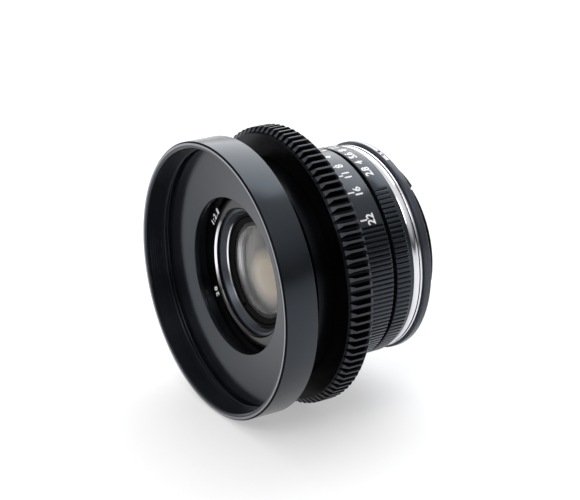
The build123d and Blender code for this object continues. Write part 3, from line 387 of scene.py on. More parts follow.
class Finishes:
    """The finishes of the lens, one for each material slot, with those of its edges, paints and glass."""

    def __init__(self) -> None:
        """Build every material once."""
        metal = partial(Finish, metallic=1.0)
        polished = partial(metal, grain_height=0.001, mark_height=0.001)
        dyed = partial(Finish, tint=(0.74, 0.85, 1.0))
        satin = dyed("anodised_satin", (0.004, 0.0045, 0.006), (0.011, 0.012, 0.015), roughness=0.21,
                     roughness_spread=0.04)
        slots = {
            Slot.SATIN: satin,
            # Tooth lands from radius 39.2 are coloured lighter, partly wear and partly a painted sheen.
            Slot.GEAR: dyed("anodised_gear", NIGHT, (0.002, 0.002, 0.0025), roughness=0.24, specular=0.14,
                            mark_height=0.001, crest_from=39.2),
            Slot.GLOSS: Finish("gloss_black_paint", NIGHT, DUSK, roughness=0.14, roughness_spread=0.03, specular=0.4,
                               grain_height=0.0005, mark_height=0.0005),
            Slot.MATT: dyed("flat_black", (0.001, 0.001, 0.0012), (0.003, 0.003, 0.004), roughness=0.38,
                            grain_height=0.002),
            Slot.ALUMINIUM: metal("turned_aluminium", (0.55, 0.55, 0.56), (0.68, 0.68, 0.69), roughness=0.34,
                                  mark_height=0.006),
            Slot.BRASS: metal("turned_brass", (0.53, 0.34, 0.12), (0.36, 0.21, 0.07), roughness=0.3, mark_height=0.005),
            Slot.CHROME: metal("polished_chrome", (0.72, 0.73, 0.77), (0.64, 0.64, 0.67), roughness=0.1,
                               roughness_spread=0.03, grain_height=0.0005, mark_height=0.001),
            Slot.STEEL: metal("bright_steel", (0.5, 0.5, 0.5), (0.38, 0.37, 0.36), roughness=0.28, marks=Sweep.NONE),
            Slot.BLACK_STEEL: metal("blued_steel", (0.05, 0.047, 0.045), (0.09, 0.08, 0.07), roughness=0.34,
                                    marks=Sweep.NONE, mark_pitch=0.6),
            Slot.BEAD: Finish("red_enamel", (0.3, 0.012, 0.02), (0.2, 0.01, 0.014), roughness=0.2, marks=Sweep.NONE,
                              coat=0.4),
            Slot.GLASS: GlassFinish("coated_glass_clear", (0.985, 0.975, 0.96)),
        }
        self.by_slot = {slot.value: finish.build() for slot, finish in slots.items()}
        # Second element: dark and mostly opaque, a painted shade for the depth of the lens, with a painted patch of
        # warm light.
        self.glass_painted_dark_and_lit = GlassFinish("glass_with_painted_shade_and_light", (0.03, 0.03, 0.028), clearness=0.12,
                                glow=(0.5, 0.43, 0.33)).build()
        self.white = InkFinish("white_engraving", (0.88, 0.88, 0.88)).build()
        self.dark_dot = InkFinish("dark_enamel", (0.02, 0.035, 0.025)).build()
        self.ground = Finish("ground_glass", (0.85, 0.83, 0.8), (0.7, 0.68, 0.66), roughness=0.5,
                             marks=Sweep.NONE).build()
        self.mount = metal("mount_chrome", (0.72, 0.72, 0.74), (0.6, 0.6, 0.61), roughness=0.2,
                           black_behind=0.6).build()
        self.pad = metal("brushed_pad", (0.36, 0.36, 0.38), (0.3, 0.3, 0.31), mark_height=0.004).build()
        # Dark polished edge metal with a painted highlight round 272 degrees.
        self.bare = polished("edge_painted_highlight", (0.07, 0.07, 0.075), (0.95, 0.95, 1.0), roughness=0.22,
                             rubbed_side=272.0).build()
        # Dark polished lip metal with a painted highlight round 262 degrees.
        self.lip = polished("bright_lip", (0.2, 0.2, 0.21), (0.72, 0.72, 0.78), roughness=0.25,
                            rubbed_side=262.0).build()
        # Lighter metal for the rim's flat front face: a painted highlight.
        self.thin = polished("rim_face_painted_highlight", (0.24, 0.245, 0.27), (0.3, 0.3, 0.33), roughness=0.3).build()
        self.collar = dyed("anodised_collar", (0.03, 0.032, 0.039), (0.038, 0.04, 0.048), roughness=0.25).build()
        self.shade = dyed("shade_black", (0.03, 0.032, 0.04), (0.04, 0.042, 0.05), roughness=0.3,
                          grain_height=0.002).build()
        self.plate = replace(satin, name="plate_satin", roughness=0.14, roughness_spread=0.03, specular=0.4).build()
        # Near black with almost no sheen: the own black of element rims, and a painted shade on cell and retainer, in
        # the chrome groove and on the front rim's bevel.
        self.well = Finish("black_and_painted_shade_finish", NIGHT, DUSK, roughness=0.45, specular=0.05, grain_height=0.001,
                           mark_height=0.001).build()

    def of(self, slot: Slot) -> Material:
        """Material of a slot."""
        return self.by_slot[slot.value]


def spin(bm: BMesh, span: float, steps: int) -> None:
    """Spin a mesh of edges round the axis by an angle, and close it where that is a full turn."""
    bmesh.ops.spin(bm, geom=list(bm.verts) + list(bm.edges), cent=(0, 0, 0), axis=(0, 1, 0), dvec=(0, 0, 0),
                   angle=math.radians(span), steps=steps, use_merge=span >= 360.0, use_duplicate=False)


@dataclass
class Lathe:
    """Closed profile that is turned round the axis.

    Attributes:
        corners: the profile in order, each corner a radius, a station and, where it is rounded, its rounding.
        steps: steps of the turn.
        start: angle that a part turn begins at.
        span: angle that is turned.
        segments: segments of each rounding.
    """

    corners: Profile
    steps: int = 240
    start: float = 0.0
    span: float = 360.0
    segments: int = 3

    def turn(self) -> BMesh:
        """Turn the profile.

        Returns:
            The turned shape.
        """
        bm = bmesh.new()
        verts = []
        rounded = {}
        for radius, station, *rounding in self.corners:
            verts.append(bm.verts.new((radius * MM, station * MM, 0)))
            if rounding:
                rounded.setdefault(rounding[0], []).append(verts[-1])
        for pair in zip(verts, verts[1:] + verts[:1]):
            bm.edges.new(pair)
        for rounding, chosen in rounded.items():
            bmesh.ops.bevel(bm, geom=chosen, offset=rounding * MM, segments=self.segments, profile=0.5,
                            affect="VERTICES", material=-1)
        turned = Matrix.Rotation(math.radians(self.start - 90.0), 3, "Y")
        bmesh.ops.rotate(bm, verts=bm.verts, cent=(0, 0, 0), matrix=turned)
        spin(bm, self.span, self.steps)
        return bm

    def closed_sector(self) -> BMesh:
        """Turn part of a circle and close both of its ends.

        Returns:
            The turned shape.
        """
        bm = self.turn()
        bmesh.ops.edgeloop_fill(bm, edges=[e for e in bm.edges if len(e.link_faces) == 1])
        return bm


def placed(name: str, data: bpy.types.ID) -> Object:
    """Put data into the scene.

    Args:
        name: object name.
        data: mesh, curve, light or camera.

    Returns:
        The new object.
    """
    thing = bpy.data.objects.new(name, data)
    bpy.context.scene.collection.objects.link(thing)
    return thing


def solid(name: str, bm: BMesh) -> Object:
    """Put a mesh into the scene.

    Args:
        name: object name.
        bm: the mesh, which is freed.

    Returns:
        The new object.
    """
    mesh = bpy.data.meshes.new(name)
    bm.to_mesh(mesh)
    bm.free()
    return placed(name, mesh)


@dataclass
class Piece:
    """A visual piece that rides on a CAD body and stands for CAD nodes, if any."""

    name: str
    body: Body
    slot: Slot
    material: Material
    stands_for: tuple = ()

    def finish(self, bm: BMesh, smooth: bool = True) -> Object:
        """Turn a mesh into the finished object.

        Args:
            bm: the mesh, which is freed.
            smooth: whether faces are shaded smooth between sharp edges.

        Returns:
            The new object.
        """
        bmesh.ops.remove_doubles(bm, verts=bm.verts, dist=MERGE * MM)
        bmesh.ops.recalc_face_normals(bm, faces=bm.faces)
        for face in bm.faces:
            face.smooth = smooth
        for edge in bm.edges:
            edge.smooth = edge.calc_face_angle(0.0) < SHARP
        piece = solid(self.name, bm)
        piece.data.materials.append(self.material)
        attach(piece, self.body.value)
        if self.stands_for:
            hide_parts(*self.stands_for)
        LOG.info("%s: %d faces on %s", self.name, len(piece.data.polygons), self.body.value)
        return piece


@dataclass
class Dressing:
    """Part of the lens that takes its looks from the shared finishes."""

    finishes: Finishes

    def dress(self, node: str, body: Body, slot: Slot, bm: BMesh, material: Optional[Material] = None) -> Object:
        """Put a mesh in the place of a CAD node, in the finish of its slot unless a material is given."""
        return Piece(node + "_dressed", body, slot, material or self.finishes.of(slot), (node,)).finish(bm)


def node_span(node: str) -> tuple[float, float, float]:
    """Front station, rear station and outer radius of a CAD node."""
    low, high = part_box(node)
    return low.y / MM, high.y / MM, -low.x / MM


def at(radius: float, angle: float, station: float) -> Vector:
    """Point in metres at a radius, angle and station."""
    turn = math.radians(angle)
    return Vector((radius * math.sin(turn), station, radius * math.cos(turn))) * MM


def polar(point: Vector) -> tuple[float, float, float]:
    """Radius, angle and station of a point in metres."""
    return math.hypot(point.x, point.z) / MM, math.degrees(math.atan2(point.x, point.z)), point.y / MM


def band(piece: Object, material: Material, first: tuple, last: tuple) -> None:
    """Give another finish to the part of a turned piece that lies between two corners of its profile.

    Args:
        piece: the piece.
        material: finish of the band.
        first: lowest radius and station of the band.
        last: its highest radius and station.
    """
    piece.data.materials.append(material)
    for face in piece.data.polygons:
        reach, _, station = polar(face.center)
        if first[0] < reach < last[0] and first[1] < station < last[1]:
            face.material_index = len(piece.data.materials) - 1


@dataclass
class FrontRing(Dressing):
    """Outer front ring with its filter thread, land, undercut and annular plate, placed from its front rim."""

    rim_bevel: float = 0.42
    # Width of the rim's flat front face, which carries a painted highlight.
    thinned: float = 0.6
    thread_pitch: float = 0.75
    thread_depth: float = 0.09
    thread_radius: float = 38.1
    thread_lead_in: float = 0.3
    thread_start: float = 0.8
    thread_end: float = 5.6
    thread_steps: int = 61
    land_front: float = 6.0
    land_rear: float = 6.4
    land_radius: float = 37.4
    undercut_radius: float = 38.6
    plate_front: float = 7.8
    plate_rear: float = 9.4
    plate_opening: float = 22.7
    skirt: float = 10.2
    hub_radius: float = 26.5
    hub_bore: float = 24.0
    hub_rear: float = 12.6

    def corners(self, rim: float, radius: float) -> Profile:
        """Profile of the ring.

        Args:
            rim: station of the front rim.
            radius: outer radius.

        Returns:
            The corners in order.
        """
        wall = self.thread_lead_in - self.land_front
        outline = [
            (radius - self.rim_bevel - self.thinned, 0.0),
            (radius - self.rim_bevel, 0.0),
            (radius, self.rim_bevel),
            (radius, self.skirt, 0.3),
            (self.undercut_radius, self.skirt, 0.15),
            (self.undercut_radius, self.plate_rear, 0.1),
            (self.hub_radius, self.plate_rear, 0.15),
            (self.hub_radius, self.hub_rear, 0.15),
            (self.hub_bore, self.hub_rear, 0.1),
            (self.hub_bore, self.plate_rear, 0.1),
            (self.plate_opening, self.plate_rear, 0.1),
            (self.plate_opening, self.plate_front, 0.25),
            (self.undercut_radius, self.plate_front, 0.2),
            (self.undercut_radius, self.land_rear, 0.1),
            (self.land_radius, self.land_rear, 0.12),
            (self.land_radius, self.land_front, 0.12),
            *((self.thread_radius, self.land_front + wall * step / self.thread_steps)
              for step in range(self.thread_steps + 1)),
            (self.thread_radius + self.thread_lead_in, 0.0, 0.12),
        ]
        return [(reach, rim + station, *rounding) for reach, station, *rounding in outline]

    def build(self) -> None:
        """Build the ring and cut its thread as a true helix."""
        rim, _, radius = node_span("front_ring")
        bm = Lathe(self.corners(rim, radius), steps=300).turn()
        first, last = rim + self.thread_start, rim + self.thread_end
        for vert in bm.verts:
            reach, angle, station = polar(vert.co)
            if abs(reach - self.thread_radius) > 0.01 or not first < station < last:
                continue
            phase = (station - first) / self.thread_pitch - angle / 360.0
            ridge = abs(phase % 1.0 - 0.5) * 2.0
            fade = min(1.0, (station - first) / self.thread_lead_in, (last - station) / self.thread_lead_in)
            vert.co = at(reach + self.thread_depth * ridge * fade, angle, station)
        ring = self.dress("front_ring", Body.BLOCK, Slot.SATIN, bm)
        face_edge = radius - self.rim_bevel
        # The rim's flat front face takes the thin finish, a painted highlight.
        band(ring, self.finishes.thin, (face_edge - self.thinned, rim - 0.1), (face_edge, rim + 0.05))
        # The rim's outer bevel is painted near black: a painted line of shade.
        band(ring, self.finishes.well, (face_edge, rim), (radius, rim + self.rim_bevel))
        plate = rim + self.plate_front
        band(ring, self.finishes.plate, (self.plate_opening, plate - 0.1), (self.undercut_radius, plate + 0.3))


@dataclass
class RingText:
    """Figures bent round the axis as thin plates.

    Attributes:
        text: what is written.
        height: height of a capital.
        angle: angle of the middle of the text.
        depth: thickness of the plates.
        lift: how far they stand out of what carries them.
        spacing: spacing of the characters.
        boldness: how far the strokes are thickened on each side.
        capital: share of the font's size that a capital is high.
        bend_step: spacing of the cuts that let the text bend.
        sink: how far each layer lies under the one before it.
    """

    text: str
    height: float
    angle: float
    depth: float = 0.06
    lift: float = 0.02
    spacing: float = 1.05
    boldness: float = 0.115
    capital: float = 0.73
    bend_step: float = 0.35
    sink: float = 0.002

    def strokes(self) -> BMesh:
        """Flat plates of the bare strokes, centred on the origin.

        Returns:
            The mesh, in millimetres.
        """
        curve = bpy.data.curves.new("figures", "FONT")
        curve.body = self.text
        curve.align_x = "CENTER"
        curve.align_y = "CENTER"
        curve.size = self.height / self.capital
        curve.space_character = self.spacing
        holder = placed("figures", curve)
        mesh = bpy.data.meshes.new_from_object(holder.evaluated_get(bpy.context.evaluated_depsgraph_get()))
        bpy.data.objects.remove(holder)
        bpy.data.curves.remove(curve)
        bm = bmesh.new()
        bm.from_mesh(mesh)
        bpy.data.meshes.remove(mesh)
        bmesh.ops.remove_doubles(bm, verts=bm.verts, dist=MERGE)
        cuts = int(max(abs(v.co.x) for v in bm.verts) / self.bend_step)
        for cut in range(-cuts, cuts + 1):
            bmesh.ops.bisect_plane(bm, geom=list(bm.verts) + list(bm.edges) + list(bm.faces),
                                   plane_co=(cut * self.bend_step, 0, 0), plane_no=(1, 0, 0))
        made = bmesh.ops.extrude_face_region(bm, geom=list(bm.faces))
        lowered = [g for g in made["geom"] if isinstance(g, bmesh.types.BMVert)]
        bmesh.ops.translate(bm, verts=lowered, vec=(0, 0, -self.depth))
        return bm

    def flat(self) -> BMesh:
        """Flat plates of the text, its strokes thickened by laying them side by side.

        Returns:
            The mesh, in millimetres.
        """
        layers = []
        for layer, (across, along) in enumerate(((-1, 0), (1, 0), (0, -1), (0, 1))):
            bm = self.strokes()
            shift = (across * self.boldness, along * self.boldness, -self.sink * layer)
            bmesh.ops.translate(bm, verts=bm.verts, vec=shift)
            layers.append(bm)
        return joined(layers)

    def on_cylinder(self, radius: float, station: float) -> BMesh:
        """Wrap the text on a cylinder, its top towards the front of the lens.

        Args:
            radius: radius of the cylinder.
            station: station of the text's middle.

        Returns:
            The mesh, in metres.
        """
        bm = self.flat()
        for vert in bm.verts:
            angle = self.angle - math.degrees(vert.co.x / radius)
            vert.co = at(radius + self.lift + vert.co.z, angle, station - vert.co.y)
        return bm

    def on_face(self, radius: float, station: float) -> BMesh:
        """Bend the text on a front face, its top outwards.

        Args:
            radius: radius of the text's middle.
            station: station of the face.

        Returns:
            The mesh, in metres.
        """
        bm = self.flat()
        for vert in bm.verts:
            angle = self.angle + math.degrees(vert.co.x / radius)
            vert.co = at(radius + vert.co.y, angle, station - self.lift - vert.co.z)
        return bm


def joined(meshes: Iterable[BMesh]) -> BMesh:
    """Join meshes into one.

    Args:
        meshes: the meshes, which are freed.

    Returns:
        The joined mesh.
    """
    whole = bmesh.new()
    for part in meshes:
        carrier = bpy.data.meshes.new("carrier")
        part.to_mesh(carrier)
        part.free()
        whole.from_mesh(carrier)
        bpy.data.meshes.remove(carrier)
    return whole


def tick(angle: float, width: float, front: float, rear: float, radius: float) -> BMesh:
    """Engraved line along the axis.

    Args:
        angle: angle of the line.
        width: width of the line.
        front: its front station.
        rear: its rear station.
        radius: radius of the surface.

    Returns:
        The mesh, in metres.
    """
    half = math.degrees(width / 2 / radius)
    low, high = radius - 0.04, radius + 0.02
    corners = [(low, front), (high, front), (high, rear), (low, rear)]
    return Lathe(corners, steps=3, start=angle - half, span=2 * half).closed_sector()


@dataclass
class NameRing(Dressing):
    """Gloss annulus round the glass, with plain figures."""

    bore: float = 18.9
    throat: float = 18.35
    figure_height: float = 1.75
    figure_radius: float = 21.3
    figures: tuple = (("1:2.8", 302.0), ("28", 236.0))

    def build(self) -> None:
        """Build the annulus and its figures."""
        front, rear, radius = node_span("name_ring")
        bm = Lathe([
            (self.bore, front, 0.12),
            (radius, front, 0.1),
            (radius, rear, 0.05),
            (self.throat, rear, 0.05),
            (self.throat, front + self.bore - self.throat, 0.1),
        ]).turn()
        ring = self.dress("name_ring", Body.BLOCK, Slot.GLOSS, bm)
        # The throat takes the bare finish: dark polished metal with a painted highlight on one side.
        band(ring, self.finishes.bare, (self.throat + 0.02, front + 0.04), (self.bore + 0.05, rear))
        words = [RingText(text, self.figure_height, angle, spacing=1.35).on_face(self.figure_radius, front)
                 for text, angle in self.figures]
        Piece("name_ring_figures", Body.BLOCK, Slot.GLOSS, self.finishes.white).finish(joined(words), smooth=False)


@dataclass
class ShadeCone(Dressing):
    """Conical shade behind the name ring, its rear edge dark metal with a painted highlight."""

    mouth: float = 17.73
    throat: float = 16.65
    lip: float = 0.3

    def build(self) -> None:
        """Build the cone, the lip bevelled at its rear and given a painted highlight."""
        front, rear, radius = node_span("shade_cone")
        lip_radius, lip_front = self.throat + self.lip, rear - self.lip
        bm = Lathe([
            (self.mouth, front, 0.08),
            (radius, front, 0.05),
            (radius, rear, 0.05),
            (self.throat, rear),
            (lip_radius, lip_front),
        ]).turn()
        cone = self.dress("shade_cone", Body.BLOCK, Slot.MATT, bm, self.finishes.shade)
        # The lip takes the bare finish: dark polished metal with a painted highlight on one side.
        band(cone, self.finishes.bare, (self.throat, lip_front), (lip_radius, rear))


@dataclass
class BrightLip(Dressing):
    """Lip that the front element sits on, dark polished metal with a painted highlight."""

    bore: float = 11.95
    seat: float = 12.48
    front: float = -37.1
    edge: float = -36.62
    rear: float = -36.44

    def build(self) -> None:
        """Build the lip, its front a cone that faces forwards and inwards."""
        bm = Lathe([
            (self.seat - 0.03, self.front),
            (self.seat, self.front),
            (self.seat, self.rear),
            (self.bore + 0.25, self.rear),
            (self.bore, self.edge),
        ], steps=180).turn()
        # The lip finish paints a highlight round 262 degrees.
        Piece("bright_lip", Body.BLOCK, Slot.ALUMINIUM, self.finishes.lip).finish(bm)


@dataclass
class RibbedRing(Dressing):
    """Gripping ring: grooves round most of it, plain where its figures stand.

    Attributes:
        node: CAD node that it replaces.
        body: body that it rides on.
        pitch: angle between grooves.
        plain_half: half the plain sector.
        depth: depth of a groove.
        mouth: share of the pitch that a groove takes at the surface.
        middle: angle of the middle of the plain sector.
        per_rib: steps that a pitch is turned in.
        plain_step: angle of a step in the plain sector.
        figure_height: height of a figure.
    """

    node: str
    body: Body
    pitch: float
    plain_half: float
    depth: float = 0.45
    mouth: float = 0.55
    middle: float = -5.6
    per_rib: int = 8
    plain_step: float = 1.5
    figure_height: float = 2.4

    def profile(self, front: float, rear: float, radius: float) -> Profile:
        """Corners of the ring, from its front and rear station and its outer radius."""
        raise NotImplementedError

    def build_ring(self) -> tuple[float, float, float]:
        """Build the ring.

        Returns:
            Its front station, rear station and outer radius.
        """
        front, rear, radius = node_span(self.node)
        count = int((360.0 - 2 * self.plain_half) / self.pitch) + 1
        ribbed = count * self.pitch
        plain = 360.0 - ribbed
        start = self.middle + 180.0 - ribbed / 2
        corners = self.profile(front, rear, radius)
        ribs = Lathe(corners, count * self.per_rib, start, ribbed).turn()
        for vert in ribs.verts:
            reach, angle, station = polar(vert.co)
            offset = abs((angle - start) / self.pitch % 1.0 - 0.5)
            limit = radius - self.depth * max(0.0, 1.0 - offset / (self.mouth / 2))
            if reach > limit:
                vert.co = at(limit, angle, station)
        rest = Lathe(corners, int(plain / self.plain_step), start + ribbed, plain).turn()
        self.dress(self.node, self.body, Slot.SATIN, joined([ribs, rest]))
        return front, rear, radius

    def mark(self, marks: Iterable[BMesh]) -> None:
        """Add the ring's figures and lines, painted white, as one piece."""
        Piece(self.node + "_figures", self.body, Slot.SATIN, self.finishes.white).finish(joined(marks), smooth=False)


@dataclass
class ScaleRing(RibbedRing):
    """Fixed ring with the depth-of-field figures; its marks are placed from its rear edge."""

    bore: float = 29.45
    figures: tuple = ((4, 9.9), (8, 20.8), (11, 28.7), (16, 40.7), (22, 57.2))
    figure_place: float = 3.6
    line_front: float = 7.1
    line_rear: float = 4.95
    line_width: float = 0.5
    index_rear: float = 0.6
    index_width: float = 0.6

    def profile(self, front: float, rear: float, radius: float) -> Profile:
        """See RibbedRing."""
        return [(self.bore, front), (radius, front, 0.25), (radius, rear, 0.25), (self.bore, rear)]

    def build(self) -> None:
        """Build the ring, its figures and its marks."""
        _, rear, radius = self.build_ring()
        line_front = rear - self.line_front
        marks = []
        for figure, away in self.figures:
            for angle in (self.middle - away, self.middle + away):
                text = RingText(str(figure), self.figure_height, angle)
                marks.append(text.on_cylinder(radius, rear - self.figure_place))
                marks.append(tick(angle, self.line_width, line_front, rear - self.line_rear, radius))
        marks.append(tick(self.middle, self.index_width, line_front, rear - self.index_rear, radius))
        self.mark(marks)


@dataclass
class ApertureRing(RibbedRing):
    """Ring that sets the aperture."""

    bore: float = 28.46
    rib_length: float = 4.6
    band_step: float = 0.4
    band_radius: float = 29.9
    figures: tuple = ("2.8", "4", "5.6", "8", "11", "16", "22")
    middle: float = -1.5
    first_angle: float = 23.1
    stop_angle: float = 8.2
    figure_place: float = 2.0

    def profile(self, front: float, rear: float, radius: float) -> Profile:
        """See RibbedRing."""
        ribs_end = front + self.rib_length
        return [
            (self.bore, front),
            (radius, front, 0.25),
            (radius, ribs_end, 0.2),
            (self.band_radius, ribs_end + self.band_step, 0.15),
            (self.band_radius, rear, 0.15),
            (self.bore, rear),
        ]

    def build(self) -> None:
        """Build the ring and its figures."""
        front, _, radius = self.build_ring()
        texts = [RingText(text, self.figure_height, self.first_angle - self.stop_angle * index, spacing=0.95)
                 for index, text in enumerate(self.figures)]
        self.mark(text.on_cylinder(radius, front + self.figure_place) for text in texts)


@dataclass
class FocusGear(Dressing):
    """Gear on the focus ring: involute teeth with both ends bevelled."""

    module: float = 0.8
    teeth: int = 99
    pressure_angle: float = 20.0
    bore: float = 32.05
    rear_bevel: float = 1.2
    edge: float = 0.06

    def half_angle(self, radius: float) -> float:
        """Half the angle that a tooth spans.

        Args:
            radius: radius where it is measured.

        Returns:
            The angle in degrees.
        """
        pitch_radius = self.module * self.teeth / 2
        pressure = math.radians(self.pressure_angle)
        local = math.acos(min(1.0, pitch_radius * math.cos(pressure) / radius))
        turned = math.pi / (2 * self.teeth) + math.tan(pressure) - pressure - math.tan(local) + local
        return math.degrees(turned)

    def build(self) -> None:
        """Build the gear from one turned blank whose columns follow the tooth."""
        front, rear, _ = node_span("focus_gear")
        tip = (self.teeth / 2 + 1) * self.module
        root = (self.teeth / 2 - 1.25) * self.module
        step = 360.0 / self.teeth
        flank = [(self.half_angle(reach), reach) for reach in (tip, (root + tip) / 2, root)]
        columns = [(0.0, tip), *flank, (step / 2, root), *((step - away, reach) for away, reach in reversed(flank))]
        bm = Lathe([
            (self.bore, front, 0.2),
            (root, front),
            (tip, front + tip - root),
            (tip, rear - self.rear_bevel),
            (tip - self.rear_bevel, rear),
            (self.bore, rear, 0.2),
        ], steps=self.teeth * len(columns)).turn()
        for vert in bm.verts:
            reach, angle, station = polar(vert.co)
            if reach < root - 0.3:
                continue
            tooth, column = divmod(round(angle / step * len(columns)), len(columns))
            away, cap = columns[column]
            if reach > cap:
                ahead = station < (front + rear) / 2
                station = front + cap - root if ahead else min(rear, rear - self.rear_bevel + tip - cap)
                reach = cap
            vert.co = at(reach, tooth * step + away, station)
        gear = self.dress("focus_gear", Body.FOCUS, Slot.GEAR, bm)
        soften = gear.modifiers.new("edges", "BEVEL")
        soften.width = self.edge * MM
        soften.segments = 2
        soften.limit_method = "ANGLE"
        soften.angle_limit = SHARP


@dataclass
class ChromeRing(Dressing):
    """Polished ring of a wide and a narrow bead."""

    bore: float = 28.45
    wide: float = 1.75
    wide_fall: float = 0.55
    narrow_fall: float = 0.3
    groove: float = 0.3
    groove_depth: float = 0.5

    def build(self) -> None:
        """Build the ring."""
        front, rear, radius = node_span("chrome_ring")
        seam = front + self.wide
        seam_rear = seam + self.groove
        bm = Lathe([
            (self.bore, front),
            (radius - self.wide_fall, front),
            (radius, front + 0.7, 0.6),
            (radius - 0.2, seam, 0.1),
            (radius - self.groove_depth, seam + self.groove / 2),
            (radius - 0.2, seam_rear, 0.06),
            (radius - 0.05, seam_rear + 0.35, 0.25),
            (radius - self.narrow_fall, rear, 0.06),
            (self.bore, rear),
        ], steps=300, segments=6).turn()
        ring = self.dress("chrome_ring", Body.BARREL, Slot.CHROME, bm)
        # The groove between the beads is painted near black: painted shade.
        band(ring, self.finishes.well, (radius - self.groove_depth, seam), (radius - 0.1, seam_rear))


@dataclass
class MountFlange(Dressing):
    """Black collar behind the chrome ring, with its index pad."""

    radius: float = 30.7
    front: float = -2.2
    rear: float = -0.2
    seat: float = -1.0
    seat_radius: float = 27.65
    seam_radius: float = 28.35
    spigot_radius: float = 27.15
    spigot_bore: float = 24.6
    pad_front: float = -1.95
    pad_rear: float = -0.75
    pad_middle: float = -5.6
    pad_span: float = 48.4
    pad_height: float = 0.12
    bead_angle: float = 13.2
    pip_angle: float = 9.6
    dot_place: float = -1.35
    dot_radius: float = 0.42
    dot_height: float = 0.16

    def dot(self, angle: float) -> BMesh:
        """Round-topped dot on the pad.

        Args:
            angle: angle of the dot.

        Returns:
            The mesh, in metres.
        """
        bm = bmesh.new()
        radius, height = self.dot_radius * MM, self.dot_height * MM
        bmesh.ops.create_cone(bm, cap_ends=True, segments=24, radius1=radius, radius2=radius, depth=2 * height)
        top = [e for e in bm.edges if all(v.co.z > 0 for v in e.verts)]
        bmesh.ops.bevel(bm, geom=top, offset=0.7 * height, segments=4, profile=0.5, affect="EDGES")
        bmesh.ops.rotate(bm, verts=bm.verts, cent=(0, 0, 0), matrix=Matrix.Rotation(math.radians(angle), 3, "Y"))
        place = at(self.radius + self.pad_height, angle, self.dot_place)
        bmesh.ops.translate(bm, verts=bm.verts, vec=place)
        return bm

    def build(self) -> None:
        """Build the collar, its pad and the two dots on the pad."""
        spigot_front, _, _ = node_span("mount_flange")
        collar = Lathe([
            (self.seam_radius, self.front),
            (self.radius, self.front, 0.15),
            (self.radius, self.rear, 0.3),
            (self.seat_radius, self.rear, 0.1),
            (self.seat_radius, self.seat),
            (self.spigot_bore, self.seat),
            (self.spigot_bore, spigot_front),
            (self.spigot_radius, spigot_front),
            (self.spigot_radius, self.front),
        ], steps=300).turn()
        foot, top = self.radius - 0.3, self.radius + self.pad_height
        pad = Lathe([
            (foot, self.pad_front),
            (top, self.pad_front, 0.12),
            (top, self.pad_rear, 0.12),
            (foot, self.pad_rear),
        ], 36, self.pad_middle - self.pad_span / 2, self.pad_span).closed_sector()
        self.dress("mount_flange", Body.BARREL, Slot.SATIN, collar, self.finishes.collar)
        Piece("index_pad", Body.BARREL, Slot.ALUMINIUM, self.finishes.pad).finish(pad)
        self.dress("index_bead", Body.BARREL, Slot.BEAD, self.dot(self.bead_angle))
        Piece("index_pip", Body.BARREL, Slot.BLACK_STEEL, self.finishes.dark_dot).finish(self.dot(self.pip_angle))


@dataclass(frozen=True)
class Element:
    """One lens element.

    Attributes:
        node: CAD node.
        front_sphere: signed radius of the front surface, 0 where flat.
        rear_sphere: signed radius of the rear surface, 0 where flat.
        rear_clear: radius where the rear surface ends in a flat, 0 where it has none.
        bevel: width of the ground bevel on its front edge.
        rings: steps from the axis to its edge.
    """

    node: str
    front_sphere: float
    rear_sphere: float
    rear_clear: float = 0.0
    bevel: float = 0.0
    rings: int = 24

    @staticmethod
    def sag(sphere: float, height: float) -> float:
        """How far a surface of a signed radius, 0 where flat, lies behind its vertex at a height."""
        return sphere - math.copysign(math.sqrt(sphere * sphere - height * height), sphere) if sphere else 0.0

    def build(self, polished: Material, ground: Material, rim: Material) -> None:
        """Grind the element from a fine disc, frost its flats and blacken its rim.

        Args:
            polished: its glass.
            ground: finish of its bevel and of the flat round its rear surface.
            rim: finish of its rim.
        """
        front, rear, radius = node_span(self.node)
        clear = self.rear_clear or radius
        front_vertex = front - min(0.0, self.sag(self.front_sphere, radius))
        rear_vertex = rear - max(0.0, self.sag(self.rear_sphere, clear))
        ahead = [(radius - self.bevel) * i / self.rings for i in range(self.rings + 1)]
        behind = [clear * i / self.rings for i in range(self.rings + 1)]
        outline = [(r, front_vertex + self.sag(self.front_sphere, r)) for r in ahead]
        back = [(r, rear_vertex + self.sag(self.rear_sphere, r)) for r in behind]
        if clear < radius:
            back.append((radius, back[-1][1]))
        if self.bevel:
            outline.append((radius, outline[-1][1] + self.bevel))
        bm = bmesh.new()
        verts = [bm.verts.new((r * MM, y * MM, 0)) for r, y in outline + back[::-1]]
        for pair in zip(verts, verts[1:]):
            bm.edges.new(pair)
        spin(bm, 360.0, 128)
        glass = Piece(self.node + "_dressed", Body.BLOCK, Slot.GLASS, polished, (self.node,)).finish(bm)
        for material in (ground, rim):
            glass.data.materials.append(material)
        for face in glass.data.polygons:
            reach, _, _ = polar(face.center)
            if abs(face.normal.y) < 0.1:
                face.material_index = 2
            elif (clear < reach and face.normal.y > 0.99) or reach > radius - self.bevel:
                face.material_index = 1


@dataclass
class GlassStack(Dressing):
    """The six elements."""

    elements: tuple = (
        Element("glass_1", 34.0, 34.5, 12.6),
        Element("glass_2", 34.0, 0.0, 0.0, 0.7),
        Element("glass_3", 0.0, -38.0),
        Element("glass_4", -30.0, 0.0),
        Element("glass_5", 0.0, -26.0),
        Element("glass_6", 0.0, -40.0),
    )

    def build(self) -> None:
        """Build every element."""
        for element in self.elements:
            # The bevelled element takes the dark glass with painted shade and light.
            polished = self.finishes.glass_painted_dark_and_lit if element.bevel else self.finishes.of(Slot.GLASS)
            element.build(polished, self.finishes.ground, self.finishes.well)


